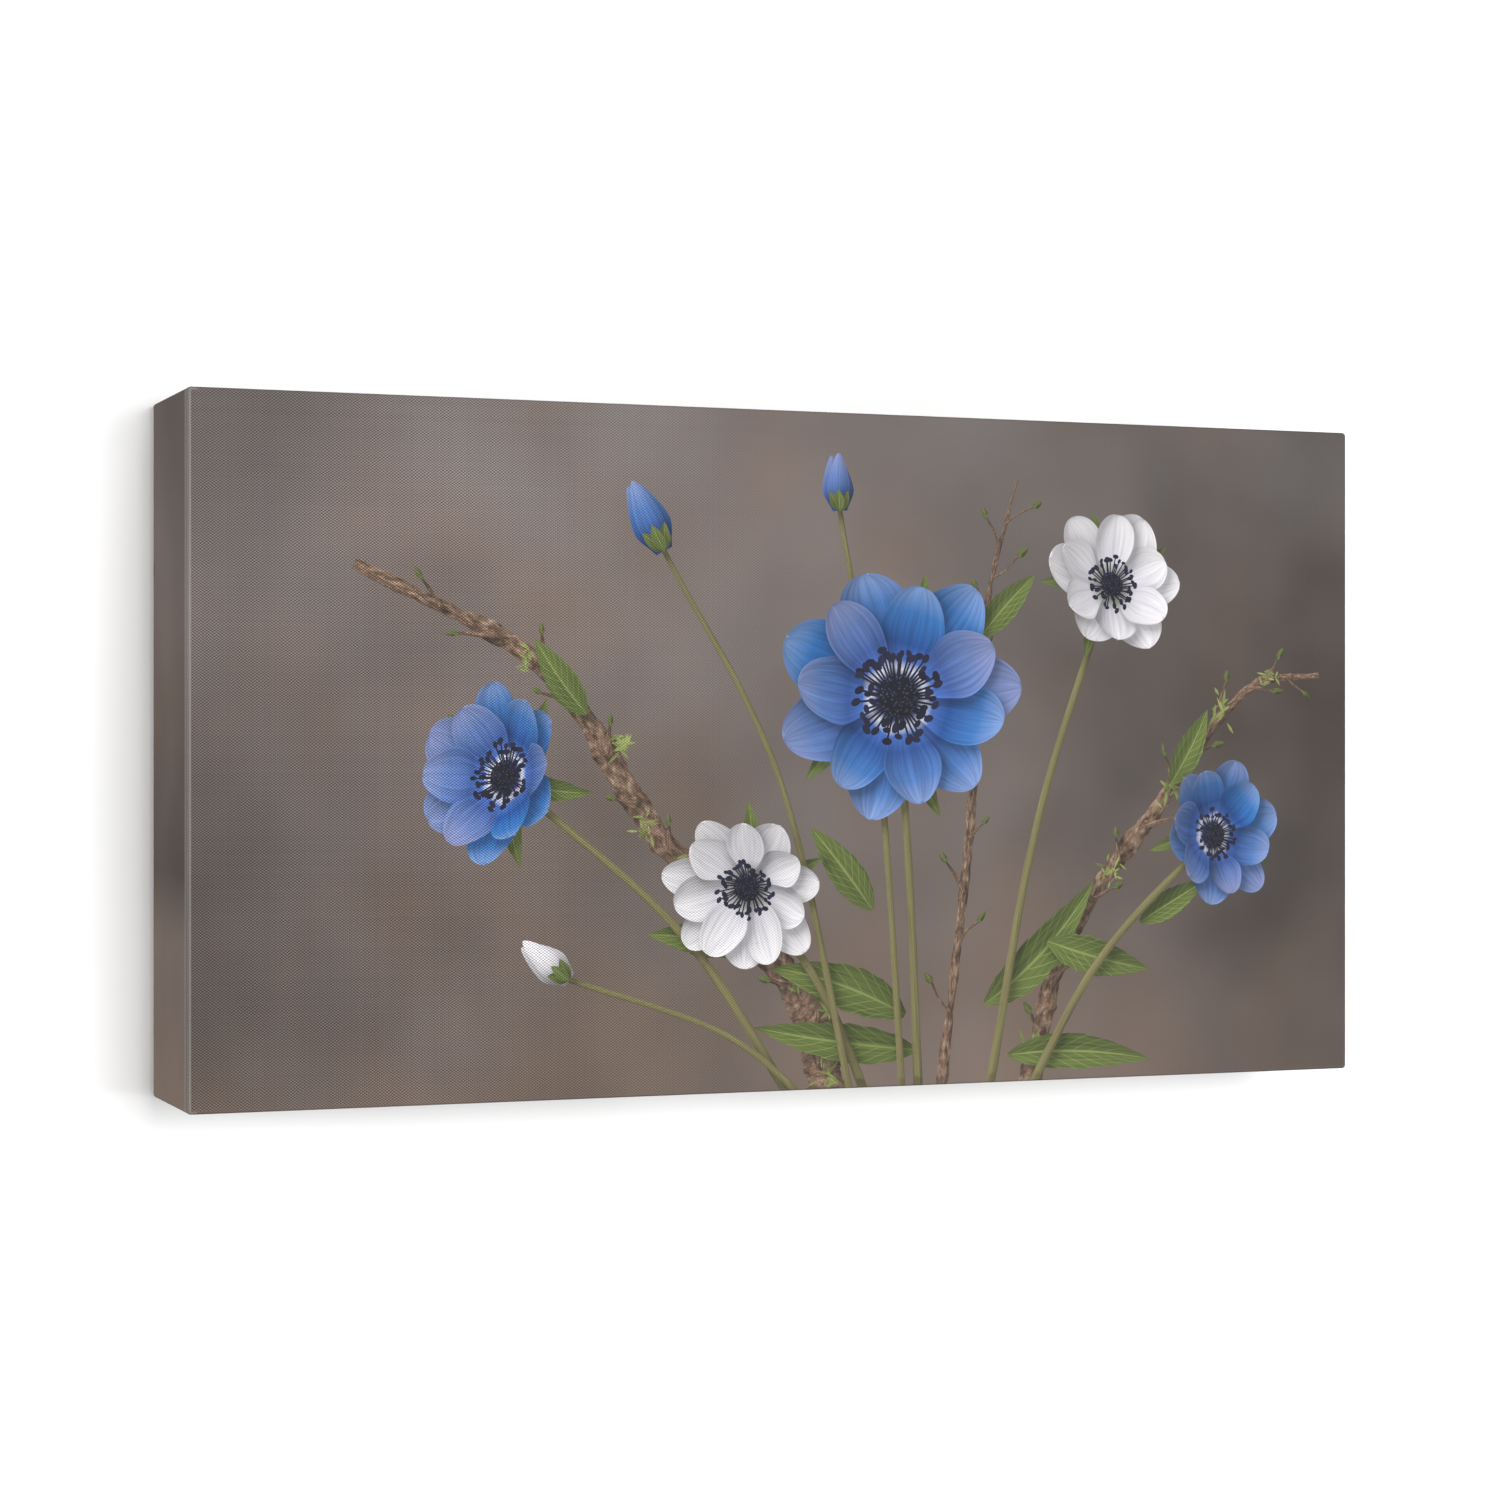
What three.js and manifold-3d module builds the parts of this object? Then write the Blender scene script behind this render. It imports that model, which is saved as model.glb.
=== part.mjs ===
// A gallery-wrapped canvas print: one sheet of printed canvas stretched over four mitred bars,
// folded at the corners, stapled at the back, and hung on a nail by a sawtooth hanger.
// Millimetres. X runs to the right seen from the front, Y runs back to the wall and Z runs up.
// The origin is where the nail bears in the hanger's middle notch, on the plane of the wall.
import * as THREE from 'three';
import { mergeVertices } from 'three/addons/utils/BufferGeometryUtils.js';
import { RoundedBoxGeometry } from 'three/addons/geometries/RoundedBoxGeometry.js';
import Module from 'manifold-3d';

// Driving dimensions of the finished print
const PRINT_WIDTH = 279.4;
const PRINT_HEIGHT = 152.4;
const PRINT_DEPTH = 38.1;
const TOP_ABOVE_NAIL = 29;
const WALL_STANDOFF = 3; // from the wall to the back of the canvas
const GAP = 0.3; // kept between pieces that touch
const OVERSHOOT = 2; // how far a cutting shape runs past what it cuts

// Canvas
const CANVAS_THICKNESS = 0.6;
const EDGE_RADIUS = 1.3; // how sharply the canvas turns over the bars
const EDGE_STEPS = 3;
const TURNOVER = 18; // width of the canvas folded on to the back
const FOLD_LAYER = 0.5; // how far a folded corner stands proud
const FOLD_SINK = 0.3; // how deep a folded layer is rooted in the canvas below it

// Stretcher bars
const BAR_WIDTH = 30;
const LIP_WIDTH = 4; // the raised rim that carries the canvas
const LIP_HEIGHT = 2;
const FACE_SLOPE = 3.3; // fall of the bar's face from the rim to its inner edge
const MITRE_INSET = 0.2; // keeps neighbouring mitres GAP apart

// Corner wedges
const WEDGE_THICKNESS = 2.6;
const WEDGE_IN = 10; // length driven into the bar
const WEDGE_OUT = 16; // length left standing in the recess
const WEDGE_TIP = 5;
const WEDGE_HEAD = 10;
const WEDGE_LAYERS = [-22, -18.5]; // Y of the wedges that lie along X and along Z

// Staples
const STAPLE_CROWN = 10;
const STAPLE_LEG = 7;
const STAPLE_WIRE = 0.6; // wire thickness, across the canvas
const STAPLE_WIDTH = 1.2; // wire width, along the canvas
const STAPLE_INSET = 11; // from the print's outer edge to the crown
const STAPLE_ROWS = { long: { count: 5, pitch: 37 }, short: { count: 3, pitch: 34 } };
const STAPLE_SKEW = 0.1; // how crooked a staple may be, in radians
const STAPLE_STRAY = 1.2; // how far it may be off its place in the row
const CORNER_STAPLE = { side: 20.5, edge: 13 }; // at the mitre of a folded corner
const FOLD_STAPLE = { side: 40, edge: 9.5 }; // near the end of the folded layer

// Sawtooth hanger and its two brads
const HANGER_LENGTH = 45;
const HANGER_HEIGHT = 9.5;
const HANGER_THICKNESS = 0.8;
const HANGER_RISE = 1.4; // how far its middle stands off the bar
const HANGER_RAISED_HALF = 14;
const HANGER_RAMP = 2;
const TOOTH_COUNT = 9;
const TOOTH_PITCH = 3;
const TOOTH_DEPTH = 1.5;
const TOOTH_TIP = 0.2; // width left at the tip of a tooth
const BRAD_FROM_MIDDLE = 19.5;
const BRAD_Z = 3.5;
const BRAD_RADIUS = 0.6;
const BRAD_HEAD_RADIUS = 1.6;
const BRAD_HEAD_HEIGHT = 0.7;
const BRAD_LENGTH = 8;
const BRAD_POINT = 1.5; // length of its tapered point
const BRAD_SEGMENTS = 12;

// Round rubber bumpers that keep the lower corners off the wall
const BUMPER_RADIUS = 4.75;
const BUMPER_ROUND = 0.6; // radius of the rim's rounded edge
const BUMPER_ROUND_STEPS = 3;
const BUMPER_SEGMENTS = 28;
const BUMPER_INSET = 24.5;

// Places worked out from the sizes above
const HALF_WIDTH = PRINT_WIDTH / 2;
const HALF_HEIGHT = PRINT_HEIGHT / 2;
const MIDDLE_Z = TOP_ABOVE_NAIL - HALF_HEIGHT;
const CANVAS_BACK = -WALL_STANDOFF;
const CANVAS_FRONT = CANVAS_BACK - PRINT_DEPTH;
const SKIN = CANVAS_THICKNESS + GAP;
const BAR_BACK = CANVAS_BACK - SKIN;
const BAR_DEPTH = PRINT_DEPTH - 2 * SKIN;
const BAR_HALF_X = HALF_WIDTH - SKIN;
const BAR_HALF_Z = HALF_HEIGHT - SKIN;
const RECESS_HALF_X = BAR_HALF_X - BAR_WIDTH;
const RECESS_HALF_Z = BAR_HALF_Z - BAR_WIDTH;
const SIDES = [-1, 1];
const CORNERS = SIDES.flatMap((sx) => SIDES.map((sz) => [sx, sz]));
const cornerName = (sx, sz) => `${sz > 0 ? 'top' : 'bottom'}_${sx > 0 ? 'right' : 'left'}`;

const INK = new THREE.MeshStandardMaterial({ color: 0x766e69, roughness: 0.6 });
const PINE = new THREE.MeshStandardMaterial({ color: 0xd9b98a, roughness: 0.7 });
const BEECH = new THREE.MeshStandardMaterial({ color: 0xc79a6b, roughness: 0.6 });
const STEEL = new THREE.MeshStandardMaterial({ color: 0xb8babd, roughness: 0.35, metalness: 1 });
const BRASS = new THREE.MeshStandardMaterial({ color: 0xc9a558, roughness: 0.35, metalness: 1 });
const RUBBER = new THREE.MeshStandardMaterial({ color: 0x2b2a29, roughness: 0.8 });

const wasm = await Module();
wasm.setup();

// A closed three.js geometry as a solid that can be cut and joined.
function solidOf(geometry) {
  const bare = geometry.clone();
  for (const name of Object.keys(bare.attributes)) {
    if (name !== 'position') bare.deleteAttribute(name);
  }
  const merged = mergeVertices(bare);
  return new wasm.Manifold(new wasm.Mesh({
    numProp: 3,
    vertProperties: new Float32Array(merged.attributes.position.array),
    triVerts: new Uint32Array(merged.index.array),
  }));
}

function geometryOf(solid) {
  const { numProp, numVert, vertProperties, triVerts } = solid.getMesh();
  const places = new Float32Array(numVert * 3);
  for (let i = 0; i < numVert; i++) {
    places.set(vertProperties.subarray(i * numProp, i * numProp + 3), i * 3);
  }
  const geometry = new THREE.BufferGeometry();
  geometry.setAttribute('position', new THREE.BufferAttribute(places, 3));
  geometry.setIndex(new THREE.BufferAttribute(triVerts, 1));
  geometry.computeVertexNormals();
  return geometry;
}

// A box between two corners.
function box(low, high) {
  const size = high.map((h, i) => h - low[i]);
  const middle = high.map((h, i) => (h + low[i]) / 2);
  return new THREE.BoxGeometry(...size).translate(...middle);
}

// An outline in X and Z, extruded along Y from one depth to another.
function plate(outline, fromY, toY) {
  const shape = new THREE.Shape(outline.map(([x, z]) => new THREE.Vector2(x, z)));
  const thickness = Math.abs(toY - fromY);
  return new THREE.ExtrudeGeometry(shape, { depth: thickness, bevelEnabled: false })
    .rotateX(Math.PI / 2)
    .translate(0, Math.max(fromY, toY), 0);
}

// Turns a piece made along the top edge so that it lies along another edge.
function turned(geometry, edge) {
  return geometry.rotateY(edge.turn).translate(0, 0, MIDDLE_Z);
}

// The four edges, by the turn about Y that carries the top edge on to each.
const LONG_EDGE = { halfLength: BAR_HALF_X, reach: BAR_HALF_Z, row: STAPLE_ROWS.long };
const SHORT_EDGE = { halfLength: BAR_HALF_Z, reach: BAR_HALF_X, row: STAPLE_ROWS.short };
const EDGES = [
  { name: 'top', turn: 0, ...LONG_EDGE },
  { name: 'right', turn: Math.PI / 2, ...SHORT_EDGE },
  { name: 'bottom', turn: Math.PI, ...LONG_EDGE },
  { name: 'left', turn: -Math.PI / 2, ...SHORT_EDGE },
];

// A fixed series of numbers between -1 and 1, for what is set by hand.
function stray(n) {
  return (Math.sin(n * 12.9898) * 43758.5453) % 1;
}

// Staples: where each one sits, which way its crown runs, and how far the canvas stands proud there.
function staplePlaces() {
  const places = [];
  const add = (name, x, z, turn, rise) => {
    const n = places.length + 1;
    places.push({
      name: `staple_${name}`,
      x: x + STAPLE_STRAY * stray(n),
      z: z + STAPLE_STRAY * stray(n + 40),
      turn: turn + STAPLE_SKEW * stray(n + 80),
      rise,
    });
  };
  for (const edge of EDGES) {
    const across = edge.reach + SKIN - STAPLE_INSET;
    for (let i = 0; i < edge.row.count; i++) {
      const along = (i - (edge.row.count - 1) / 2) * edge.row.pitch;
      const at = new THREE.Vector3(along, 0, across);
      at.applyAxisAngle(new THREE.Vector3(0, 1, 0), edge.turn);
      add(`${edge.name}_${i + 1}`, at.x, at.z, edge.turn, 0);
    }
  }
  for (const [sx, sz] of CORNERS) {
    const at = ({ side, edge }) => [sx * (HALF_WIDTH - side), sz * (HALF_HEIGHT - edge)];
    add(`corner_${cornerName(sx, sz)}`, ...at(CORNER_STAPLE), sx * sz * Math.PI / 4, FOLD_LAYER);
    add(`fold_${cornerName(sx, sz)}`, ...at(FOLD_STAPLE), 0, FOLD_LAYER);
  }
  return places;
}

// Carries a piece made at the origin to a staple's place.
function toStaple(geometry, place) {
  return geometry.rotateY(place.turn).translate(place.x, CANVAS_BACK + place.rise, place.z + MIDDLE_Z);
}

// One staple: a flat wire bent into a crown and two legs, with round shoulders.
function staple(place) {
  const half = STAPLE_CROWN / 2;
  const back = GAP + STAPLE_WIRE;
  const outline = new THREE.Shape();
  outline.moveTo(-half, -STAPLE_LEG);
  outline.lineTo(-half + STAPLE_WIRE, -STAPLE_LEG);
  outline.lineTo(-half + STAPLE_WIRE, GAP);
  outline.lineTo(half - STAPLE_WIRE, GAP);
  outline.lineTo(half - STAPLE_WIRE, -STAPLE_LEG);
  outline.lineTo(half, -STAPLE_LEG);
  outline.absarc(half - STAPLE_WIRE, back - STAPLE_WIRE, STAPLE_WIRE, 0, Math.PI / 2);
  outline.absarc(-half + STAPLE_WIRE, back - STAPLE_WIRE, STAPLE_WIRE, Math.PI / 2, Math.PI);
  const options = { depth: STAPLE_WIDTH, bevelEnabled: false, curveSegments: 3 };
  const wire = new THREE.ExtrudeGeometry(outline, options);
  return toStaple(wire.translate(0, 0, -STAPLE_WIDTH / 2), place);
}

// The two holes that a staple's legs make in the canvas and the bar.
function stapleHoles(place) {
  const halfWidth = STAPLE_WIDTH / 2 + GAP;
  return SIDES.map((side) => {
    const middle = side * (STAPLE_CROWN - STAPLE_WIRE) / 2;
    const halfWire = STAPLE_WIRE / 2 + GAP;
    const hole = box(
      [middle - halfWire, -STAPLE_LEG - GAP, -halfWidth],
      [middle + halfWire, OVERSHOOT, halfWidth],
    );
    return solidOf(toStaple(hole, place));
  });
}

// The canvas: front, sides and turnover in one sheet, with its folded corners.
function canvas(holes) {
  const outer = new RoundedBoxGeometry(PRINT_WIDTH, PRINT_DEPTH, PRINT_HEIGHT, EDGE_STEPS, EDGE_RADIUS)
    .translate(0, (CANVAS_FRONT + CANVAS_BACK) / 2, MIDDLE_Z);
  const innerX = HALF_WIDTH - CANVAS_THICKNESS;
  const innerZ = HALF_HEIGHT - CANVAS_THICKNESS;
  const inside = box(
    [-innerX, CANVAS_FRONT + CANVAS_THICKNESS, MIDDLE_Z - innerZ],
    [innerX, CANVAS_BACK - CANVAS_THICKNESS, MIDDLE_Z + innerZ],
  );
  const openX = HALF_WIDTH - TURNOVER;
  const openZ = HALF_HEIGHT - TURNOVER;
  const mouth = box(
    [-openX, CANVAS_BACK - OVERSHOOT, MIDDLE_Z - openZ],
    [openX, CANVAS_BACK + OVERSHOOT, MIDDLE_Z + openZ],
  );
  let sheet = solidOf(outer).subtract(solidOf(inside)).subtract(solidOf(mouth));
  for (const [sx, sz] of CORNERS) {
    sheet = sheet.add(sideFold(sx, sz)).add(backFold(sx, sz));
  }
  for (const hole of holes) sheet = sheet.subtract(hole);
  return sheet;
}

// The spare canvas of a corner, folded into a triangle on the top or bottom side.
function sideFold(sx, sz) {
  const edge = HALF_WIDTH - EDGE_RADIUS;
  const front = CANVAS_FRONT + EDGE_RADIUS;
  const back = CANVAS_BACK - EDGE_RADIUS;
  const corners = [[edge, front], [edge, back], [edge - (back - front), back]];
  const shape = new THREE.Shape(corners.map(([x, y]) => new THREE.Vector2(sx * x, y)));
  const layer = new THREE.ExtrudeGeometry(shape, { depth: FOLD_LAYER + FOLD_SINK, bevelEnabled: false });
  const low = sz > 0 ? HALF_HEIGHT - FOLD_SINK : -HALF_HEIGHT - FOLD_LAYER;
  return solidOf(layer.translate(0, 0, MIDDLE_Z + low));
}

// The same folded layer turned on to the back: one edge is the mitre, the other goes on slanting.
function backFold(sx, sz) {
  const outerX = HALF_WIDTH - EDGE_RADIUS;
  const outerZ = HALF_HEIGHT - EDGE_RADIUS;
  const innerX = HALF_WIDTH - TURNOVER;
  const innerZ = HALF_HEIGHT - TURNOVER;
  const outline = [
    [outerX, outerZ],
    [innerX, innerZ],
    [innerX - PRINT_DEPTH, innerZ],
    [outerX - PRINT_DEPTH, outerZ],
  ].map(([x, z]) => [sx * x, sz * z]);
  const layer = plate(outline, CANVAS_BACK - FOLD_SINK, CANVAS_BACK + FOLD_LAYER);
  return solidOf(layer.translate(0, 0, MIDDLE_Z));
}

// One stretcher bar, made along the top edge: a section with a raised rim, mitred at both ends.
function bar(edge, cuts) {
  const section = new THREE.Shape([
    [0, 0],
    [0, -BAR_WIDTH],
    [LIP_HEIGHT + FACE_SLOPE - BAR_DEPTH, -BAR_WIDTH],
    [LIP_HEIGHT - BAR_DEPTH, -LIP_WIDTH - LIP_HEIGHT / 2],
    [-BAR_DEPTH, -LIP_WIDTH],
    [-BAR_DEPTH, -EDGE_RADIUS / 2],
    [EDGE_RADIUS / 2 - BAR_DEPTH, 0],
  ].map(([y, z]) => new THREE.Vector2(y, z)));
  const length = 2 * edge.halfLength;
  const geometry = new THREE.ExtrudeGeometry(section, { depth: length, bevelEnabled: false });
  const place = geometry.attributes.position;
  for (let i = 0; i < place.count; i++) {
    const [y, z, along] = [place.getX(i), place.getY(i), place.getZ(i)];
    const end = along > length / 2 ? 1 : -1;
    const x = end * (edge.halfLength + z - MITRE_INSET);
    place.setXYZ(i, x, BAR_BACK + y, edge.reach + z);
  }
  let solid = solidOf(turned(geometry, edge));
  if (solid.volume() < 0) throw new Error(`bar ${edge.name} is inside out`);
  for (const cut of cuts) solid = solid.subtract(cut);
  return solid;
}

// The wedges of one corner: the first lies along the top or bottom bar, the second along the side bar.
function wedge(sx, sz, alongX) {
  const [run, rise] = alongX ? [RECESS_HALF_X, RECESS_HALF_Z] : [RECESS_HALF_Z, RECESS_HALF_X];
  const outline = [
    [run + WEDGE_IN, rise - GAP],
    [run + WEDGE_IN, rise - GAP - WEDGE_TIP],
    [run - WEDGE_OUT, rise - GAP - WEDGE_HEAD],
    [run - WEDGE_OUT, rise - GAP],
  ].map(([a, b]) => (alongX ? [sx * a, sz * b] : [sx * b, sz * a]));
  const middle = WEDGE_LAYERS[alongX ? 0 : 1];
  const half = WEDGE_THICKNESS / 2;
  return plate(outline, middle - half, middle + half).translate(0, 0, MIDDLE_Z);
}

// The slot in the bar that a wedge is driven into.
function wedgeSlot(sx, sz, alongX) {
  const [run, rise] = alongX ? [RECESS_HALF_X, RECESS_HALF_Z] : [RECESS_HALF_Z, RECESS_HALF_X];
  const widthAtFace = WEDGE_TIP + (WEDGE_HEAD - WEDGE_TIP) * WEDGE_IN / (WEDGE_IN + WEDGE_OUT);
  const outline = [
    [run + WEDGE_IN + GAP, rise],
    [run + WEDGE_IN + GAP, rise - WEDGE_TIP - 2 * GAP],
    [run - OVERSHOOT, rise - widthAtFace - 3 * GAP],
    [run - OVERSHOOT, rise],
  ].map(([a, b]) => (alongX ? [sx * a, sz * b] : [sx * b, sz * a]));
  const middle = WEDGE_LAYERS[alongX ? 0 : 1];
  const half = WEDGE_THICKNESS / 2 + GAP;
  return solidOf(plate(outline, middle - half, middle + half).translate(0, 0, MIDDLE_Z));
}

// The sawtooth hanger: a strip joggled up in the middle, with teeth along its lower edge.
function hanger() {
  const foot = BAR_BACK + GAP;
  const raised = foot + HANGER_RISE;
  const half = HANGER_LENGTH / 2;
  const rampFoot = HANGER_RAISED_HALF + HANGER_RAMP;
  const lower = [[-half, foot], [-rampFoot, foot], [-HANGER_RAISED_HALF, raised],
    [HANGER_RAISED_HALF, raised], [rampFoot, foot], [half, foot]];
  const upper = lower.map(([x, y]) => [x, y + HANGER_THICKNESS]).reverse();
  const strip = new THREE.Shape([...lower, ...upper].map(([x, y]) => new THREE.Vector2(x, y)));
  const geometry = new THREE.ExtrudeGeometry(strip, { depth: HANGER_HEIGHT, bevelEnabled: false })
    .translate(0, 0, -TOOTH_DEPTH);
  let solid = solidOf(geometry);
  for (let i = 0; i < TOOTH_COUNT; i++) {
    const x = (i - (TOOTH_COUNT - 1) / 2) * TOOTH_PITCH;
    const halfGap = (TOOTH_PITCH - TOOTH_TIP) / 2;
    const below = -TOOTH_DEPTH - OVERSHOOT;
    const notch = [[x, 0], [x - halfGap, -TOOTH_DEPTH], [x - halfGap, below],
      [x + halfGap, below], [x + halfGap, -TOOTH_DEPTH]];
    solid = solid.subtract(solidOf(plate(notch, foot - OVERSHOOT, 0)));
  }
  for (const side of SIDES) solid = solid.subtract(bradHole(side));
  return solid;
}

// A round piece about an axis that runs along Y, from a profile of radius and Y.
function turnedPiece(profile, segments, x, z) {
  const points = profile.map(([radius, y]) => new THREE.Vector2(radius, y));
  return new THREE.LatheGeometry(points, segments).translate(x, 0, z);
}

function brad(side) {
  const under = BAR_BACK + 2 * GAP + HANGER_THICKNESS;
  const profile = [
    [0, under - BRAD_LENGTH],
    [BRAD_RADIUS, under - BRAD_LENGTH + BRAD_POINT],
    [BRAD_RADIUS, under],
    [BRAD_HEAD_RADIUS, under],
    [BRAD_HEAD_RADIUS * 0.75, under + BRAD_HEAD_HEIGHT * 0.7],
    [0, under + BRAD_HEAD_HEIGHT],
  ];
  return turnedPiece(profile, BRAD_SEGMENTS, side * BRAD_FROM_MIDDLE, BRAD_Z);
}

function bradHole(side) {
  const radius = BRAD_RADIUS + GAP;
  const bottom = BAR_BACK - BRAD_LENGTH;
  const profile = [[0, bottom], [radius, bottom], [radius, 0], [0, 0]];
  return solidOf(turnedPiece(profile, BRAD_SEGMENTS, side * BRAD_FROM_MIDDLE, BRAD_Z));
}

function bumper(side) {
  const foot = BAR_BACK + GAP;
  const rim = BUMPER_RADIUS - BUMPER_ROUND;
  const profile = [[0, foot], [BUMPER_RADIUS, foot]];
  for (let step = 0; step <= BUMPER_ROUND_STEPS; step++) {
    const angle = step * Math.PI / 2 / BUMPER_ROUND_STEPS;
    profile.push([rim + BUMPER_ROUND * Math.cos(angle), BUMPER_ROUND * (Math.sin(angle) - 1)]);
  }
  profile.push([0, 0]);
  const x = side * (HALF_WIDTH - BUMPER_INSET);
  return turnedPiece(profile, BUMPER_SEGMENTS, x, MIDDLE_Z - HALF_HEIGHT + BUMPER_INSET);
}

const print = new THREE.Group();

function addPiece(name, solid, material) {
  const mesh = new THREE.Mesh(geometryOf(solid), material);
  mesh.name = name;
  print.add(mesh);
}

const staples = staplePlaces();
const holes = staples.flatMap(stapleHoles);
const slots = CORNERS.flatMap(([sx, sz]) => [wedgeSlot(sx, sz, true), wedgeSlot(sx, sz, false)]);
const bradHoles = SIDES.map(bradHole);

addPiece('canvas', canvas(holes), INK);
for (const edge of EDGES) {
  const cuts = edge.name === 'top' ? [...holes, ...slots, ...bradHoles] : [...holes, ...slots];
  addPiece(`bar_${edge.name}`, bar(edge, cuts), PINE);
}
for (const [sx, sz] of CORNERS) {
  addPiece(`wedge_${cornerName(sx, sz)}_level`, solidOf(wedge(sx, sz, true)), BEECH);
  addPiece(`wedge_${cornerName(sx, sz)}_upright`, solidOf(wedge(sx, sz, false)), BEECH);
}
for (const place of staples) addPiece(place.name, solidOf(staple(place)), STEEL);
addPiece('hanger', hanger(), BRASS);
for (const side of SIDES) {
  addPiece(`brad_${side > 0 ? 'right' : 'left'}`, solidOf(brad(side)), BRASS);
  addPiece(`bumper_${side > 0 ? 'right' : 'left'}`, solidOf(bumper(side)), RUBBER);
}

export default print;
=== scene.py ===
# %% [markdown]
# A gallery-wrapped canvas print, dressed in Blender
#
# The real object is one sheet of printed canvas, pulled over four deep wooden bars and stapled
# at the back. The bars, wedges, staples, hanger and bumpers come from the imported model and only
# need their finish. The canvas is made here, because its look is all in the cloth: the print,
# the weave, the folded corners and the cut edge at the back.
# Everything ends up in metres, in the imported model's own frame: X to the right, Y to the wall,
# Z up.

import math

import bmesh
import bpy
import numpy as np
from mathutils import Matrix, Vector
from mathutils.geometry import delaunay_2d_cdt


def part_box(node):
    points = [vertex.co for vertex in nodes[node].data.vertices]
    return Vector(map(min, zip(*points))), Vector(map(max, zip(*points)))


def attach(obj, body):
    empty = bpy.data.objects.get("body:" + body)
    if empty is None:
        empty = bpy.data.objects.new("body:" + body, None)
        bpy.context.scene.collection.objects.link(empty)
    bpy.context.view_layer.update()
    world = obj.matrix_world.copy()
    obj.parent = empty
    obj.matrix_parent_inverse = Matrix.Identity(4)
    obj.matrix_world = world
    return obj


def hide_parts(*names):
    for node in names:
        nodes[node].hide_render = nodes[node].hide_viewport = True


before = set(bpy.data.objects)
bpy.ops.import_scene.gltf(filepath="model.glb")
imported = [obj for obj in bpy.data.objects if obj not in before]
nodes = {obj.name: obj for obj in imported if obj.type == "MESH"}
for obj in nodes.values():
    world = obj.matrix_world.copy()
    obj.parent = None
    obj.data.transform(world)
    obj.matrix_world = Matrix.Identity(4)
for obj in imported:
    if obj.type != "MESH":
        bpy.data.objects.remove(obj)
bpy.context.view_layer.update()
scene = bpy.context.scene

# %% [markdown]
# The sizes of the print
#
# The canvas node's box gives the outer sizes, so nothing is typed twice. The drawing on the
# canvas is worked out in millimetres, because a picture is easier to lay out in them, and is
# turned to metres where the mesh is made.

# %% Sizes
MM = 0.001
FOLD_LAYER = 0.5  # mm, how far a folded corner stands proud of the top, bottom and back

low, high = (np.array(corner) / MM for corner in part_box("canvas"))
WIDTH = high[0] - low[0]
HEIGHT = high[2] - low[2] - 2 * FOLD_LAYER
DEPTH = high[1] - low[1] - FOLD_LAYER
HALF_W, HALF_H = WIDTH / 2, HEIGHT / 2
FRONT_Y = low[1]
BACK_Y = FRONT_Y + DEPTH
MIDDLE_Z = (low[2] + high[2]) / 2
print(f"{WIDTH:.1f} x {HEIGHT:.1f} x {DEPTH:.1f} mm, front at y {FRONT_Y:.1f}, middle at z {MIDDLE_Z:.1f}")

# %% [markdown]
# The camera
#
# The photograph looks at the print from the left, at the height of its middle. Its slanting
# edges meet at two vanishing points, which give the focal length and how far the print is
# turned. The eye's place follows from the print's size. With the camera first, each later
# piece can be judged in the right view.

# %% Camera
FRAME_PX = 1500  # the photograph's side
FOCAL_PX = 3269.1
TURN = math.radians(21.19)  # from square on to the wall, towards the right
EYE = Vector((-0.27701, -0.71725, 0.00013))  # from the middle of the print's back, in metres


def add_object(name, data):
    """A new object in the scene."""
    made = bpy.data.objects.new(name, data)
    scene.collection.objects.link(made)
    return made


camera_data = bpy.data.cameras.new("camera")
camera_data.sensor_width = 36.0
camera_data.lens = FOCAL_PX / FRAME_PX * camera_data.sensor_width
camera_data.clip_start, camera_data.clip_end = 0.01, 50.0
camera = add_object("camera", camera_data)
camera.location = EYE + Vector((0, BACK_Y * MM, MIDDLE_Z * MM))
camera.rotation_euler = (math.pi / 2, 0, -TURN)
scene.camera = camera
print(f"lens {camera_data.lens:.1f} mm at {tuple(round(v, 3) for v in camera.location)}")

# %% [markdown]
# The shapes of the picture
#
# The print shows a spray of flowers on a soft ground. It is drawn as flat shapes with sharp
# outlines, laid one over another like cut paper. Its depth comes from shading, so a petal is
# first bent in space as a small curved patch, shaded, and only then laid flat.
# A patch is a grid of points with three numbers at each: how far along the petal it is, how far
# across, and how light it is. The patch's outline is where the cloth will be cut.

# %% Helpers for outlines and patches
LIGHT = np.array([-0.42, 0.52, 0.74])  # towards the light that falls on the pictured flowers
LIGHT = LIGHT / np.linalg.norm(LIGHT)

shapes = []  # from the lowest to the topmost, in millimetres from the picture's middle


def smooth(value, start, end):
    """0 before start, 1 after end, and a soft step between."""
    t = np.clip((np.asarray(value, float) - start) / (end - start), 0, 1)
    return t * t * (3 - 2 * t)


def heading(angle):
    """The direction at an angle, one long."""
    return np.array([math.cos(angle), math.sin(angle)])


def left_of(way):
    """A direction turned a quarter to the left."""
    return np.array([-way[1], way[0]])


def counter_clockwise(outline):
    x, y = outline[:, 0], outline[:, 1]
    area = (x * np.roll(y, -1) - np.roll(x, -1) * y).sum()
    return outline if area > 0 else outline[::-1]


def add_shape(ink, outline, patch=None, tone=1.0, variety=0.0, casts=True):
    """Lays one shape over those before it."""
    outline = counter_clockwise(np.asarray(outline, float))
    shapes.append({"ink": ink, "outline": outline, "patch": patch, "tone": tone,
                   "variety": variety, "casts": casts,
                   "low": outline.min(axis=0), "high": outline.max(axis=0)})


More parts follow.
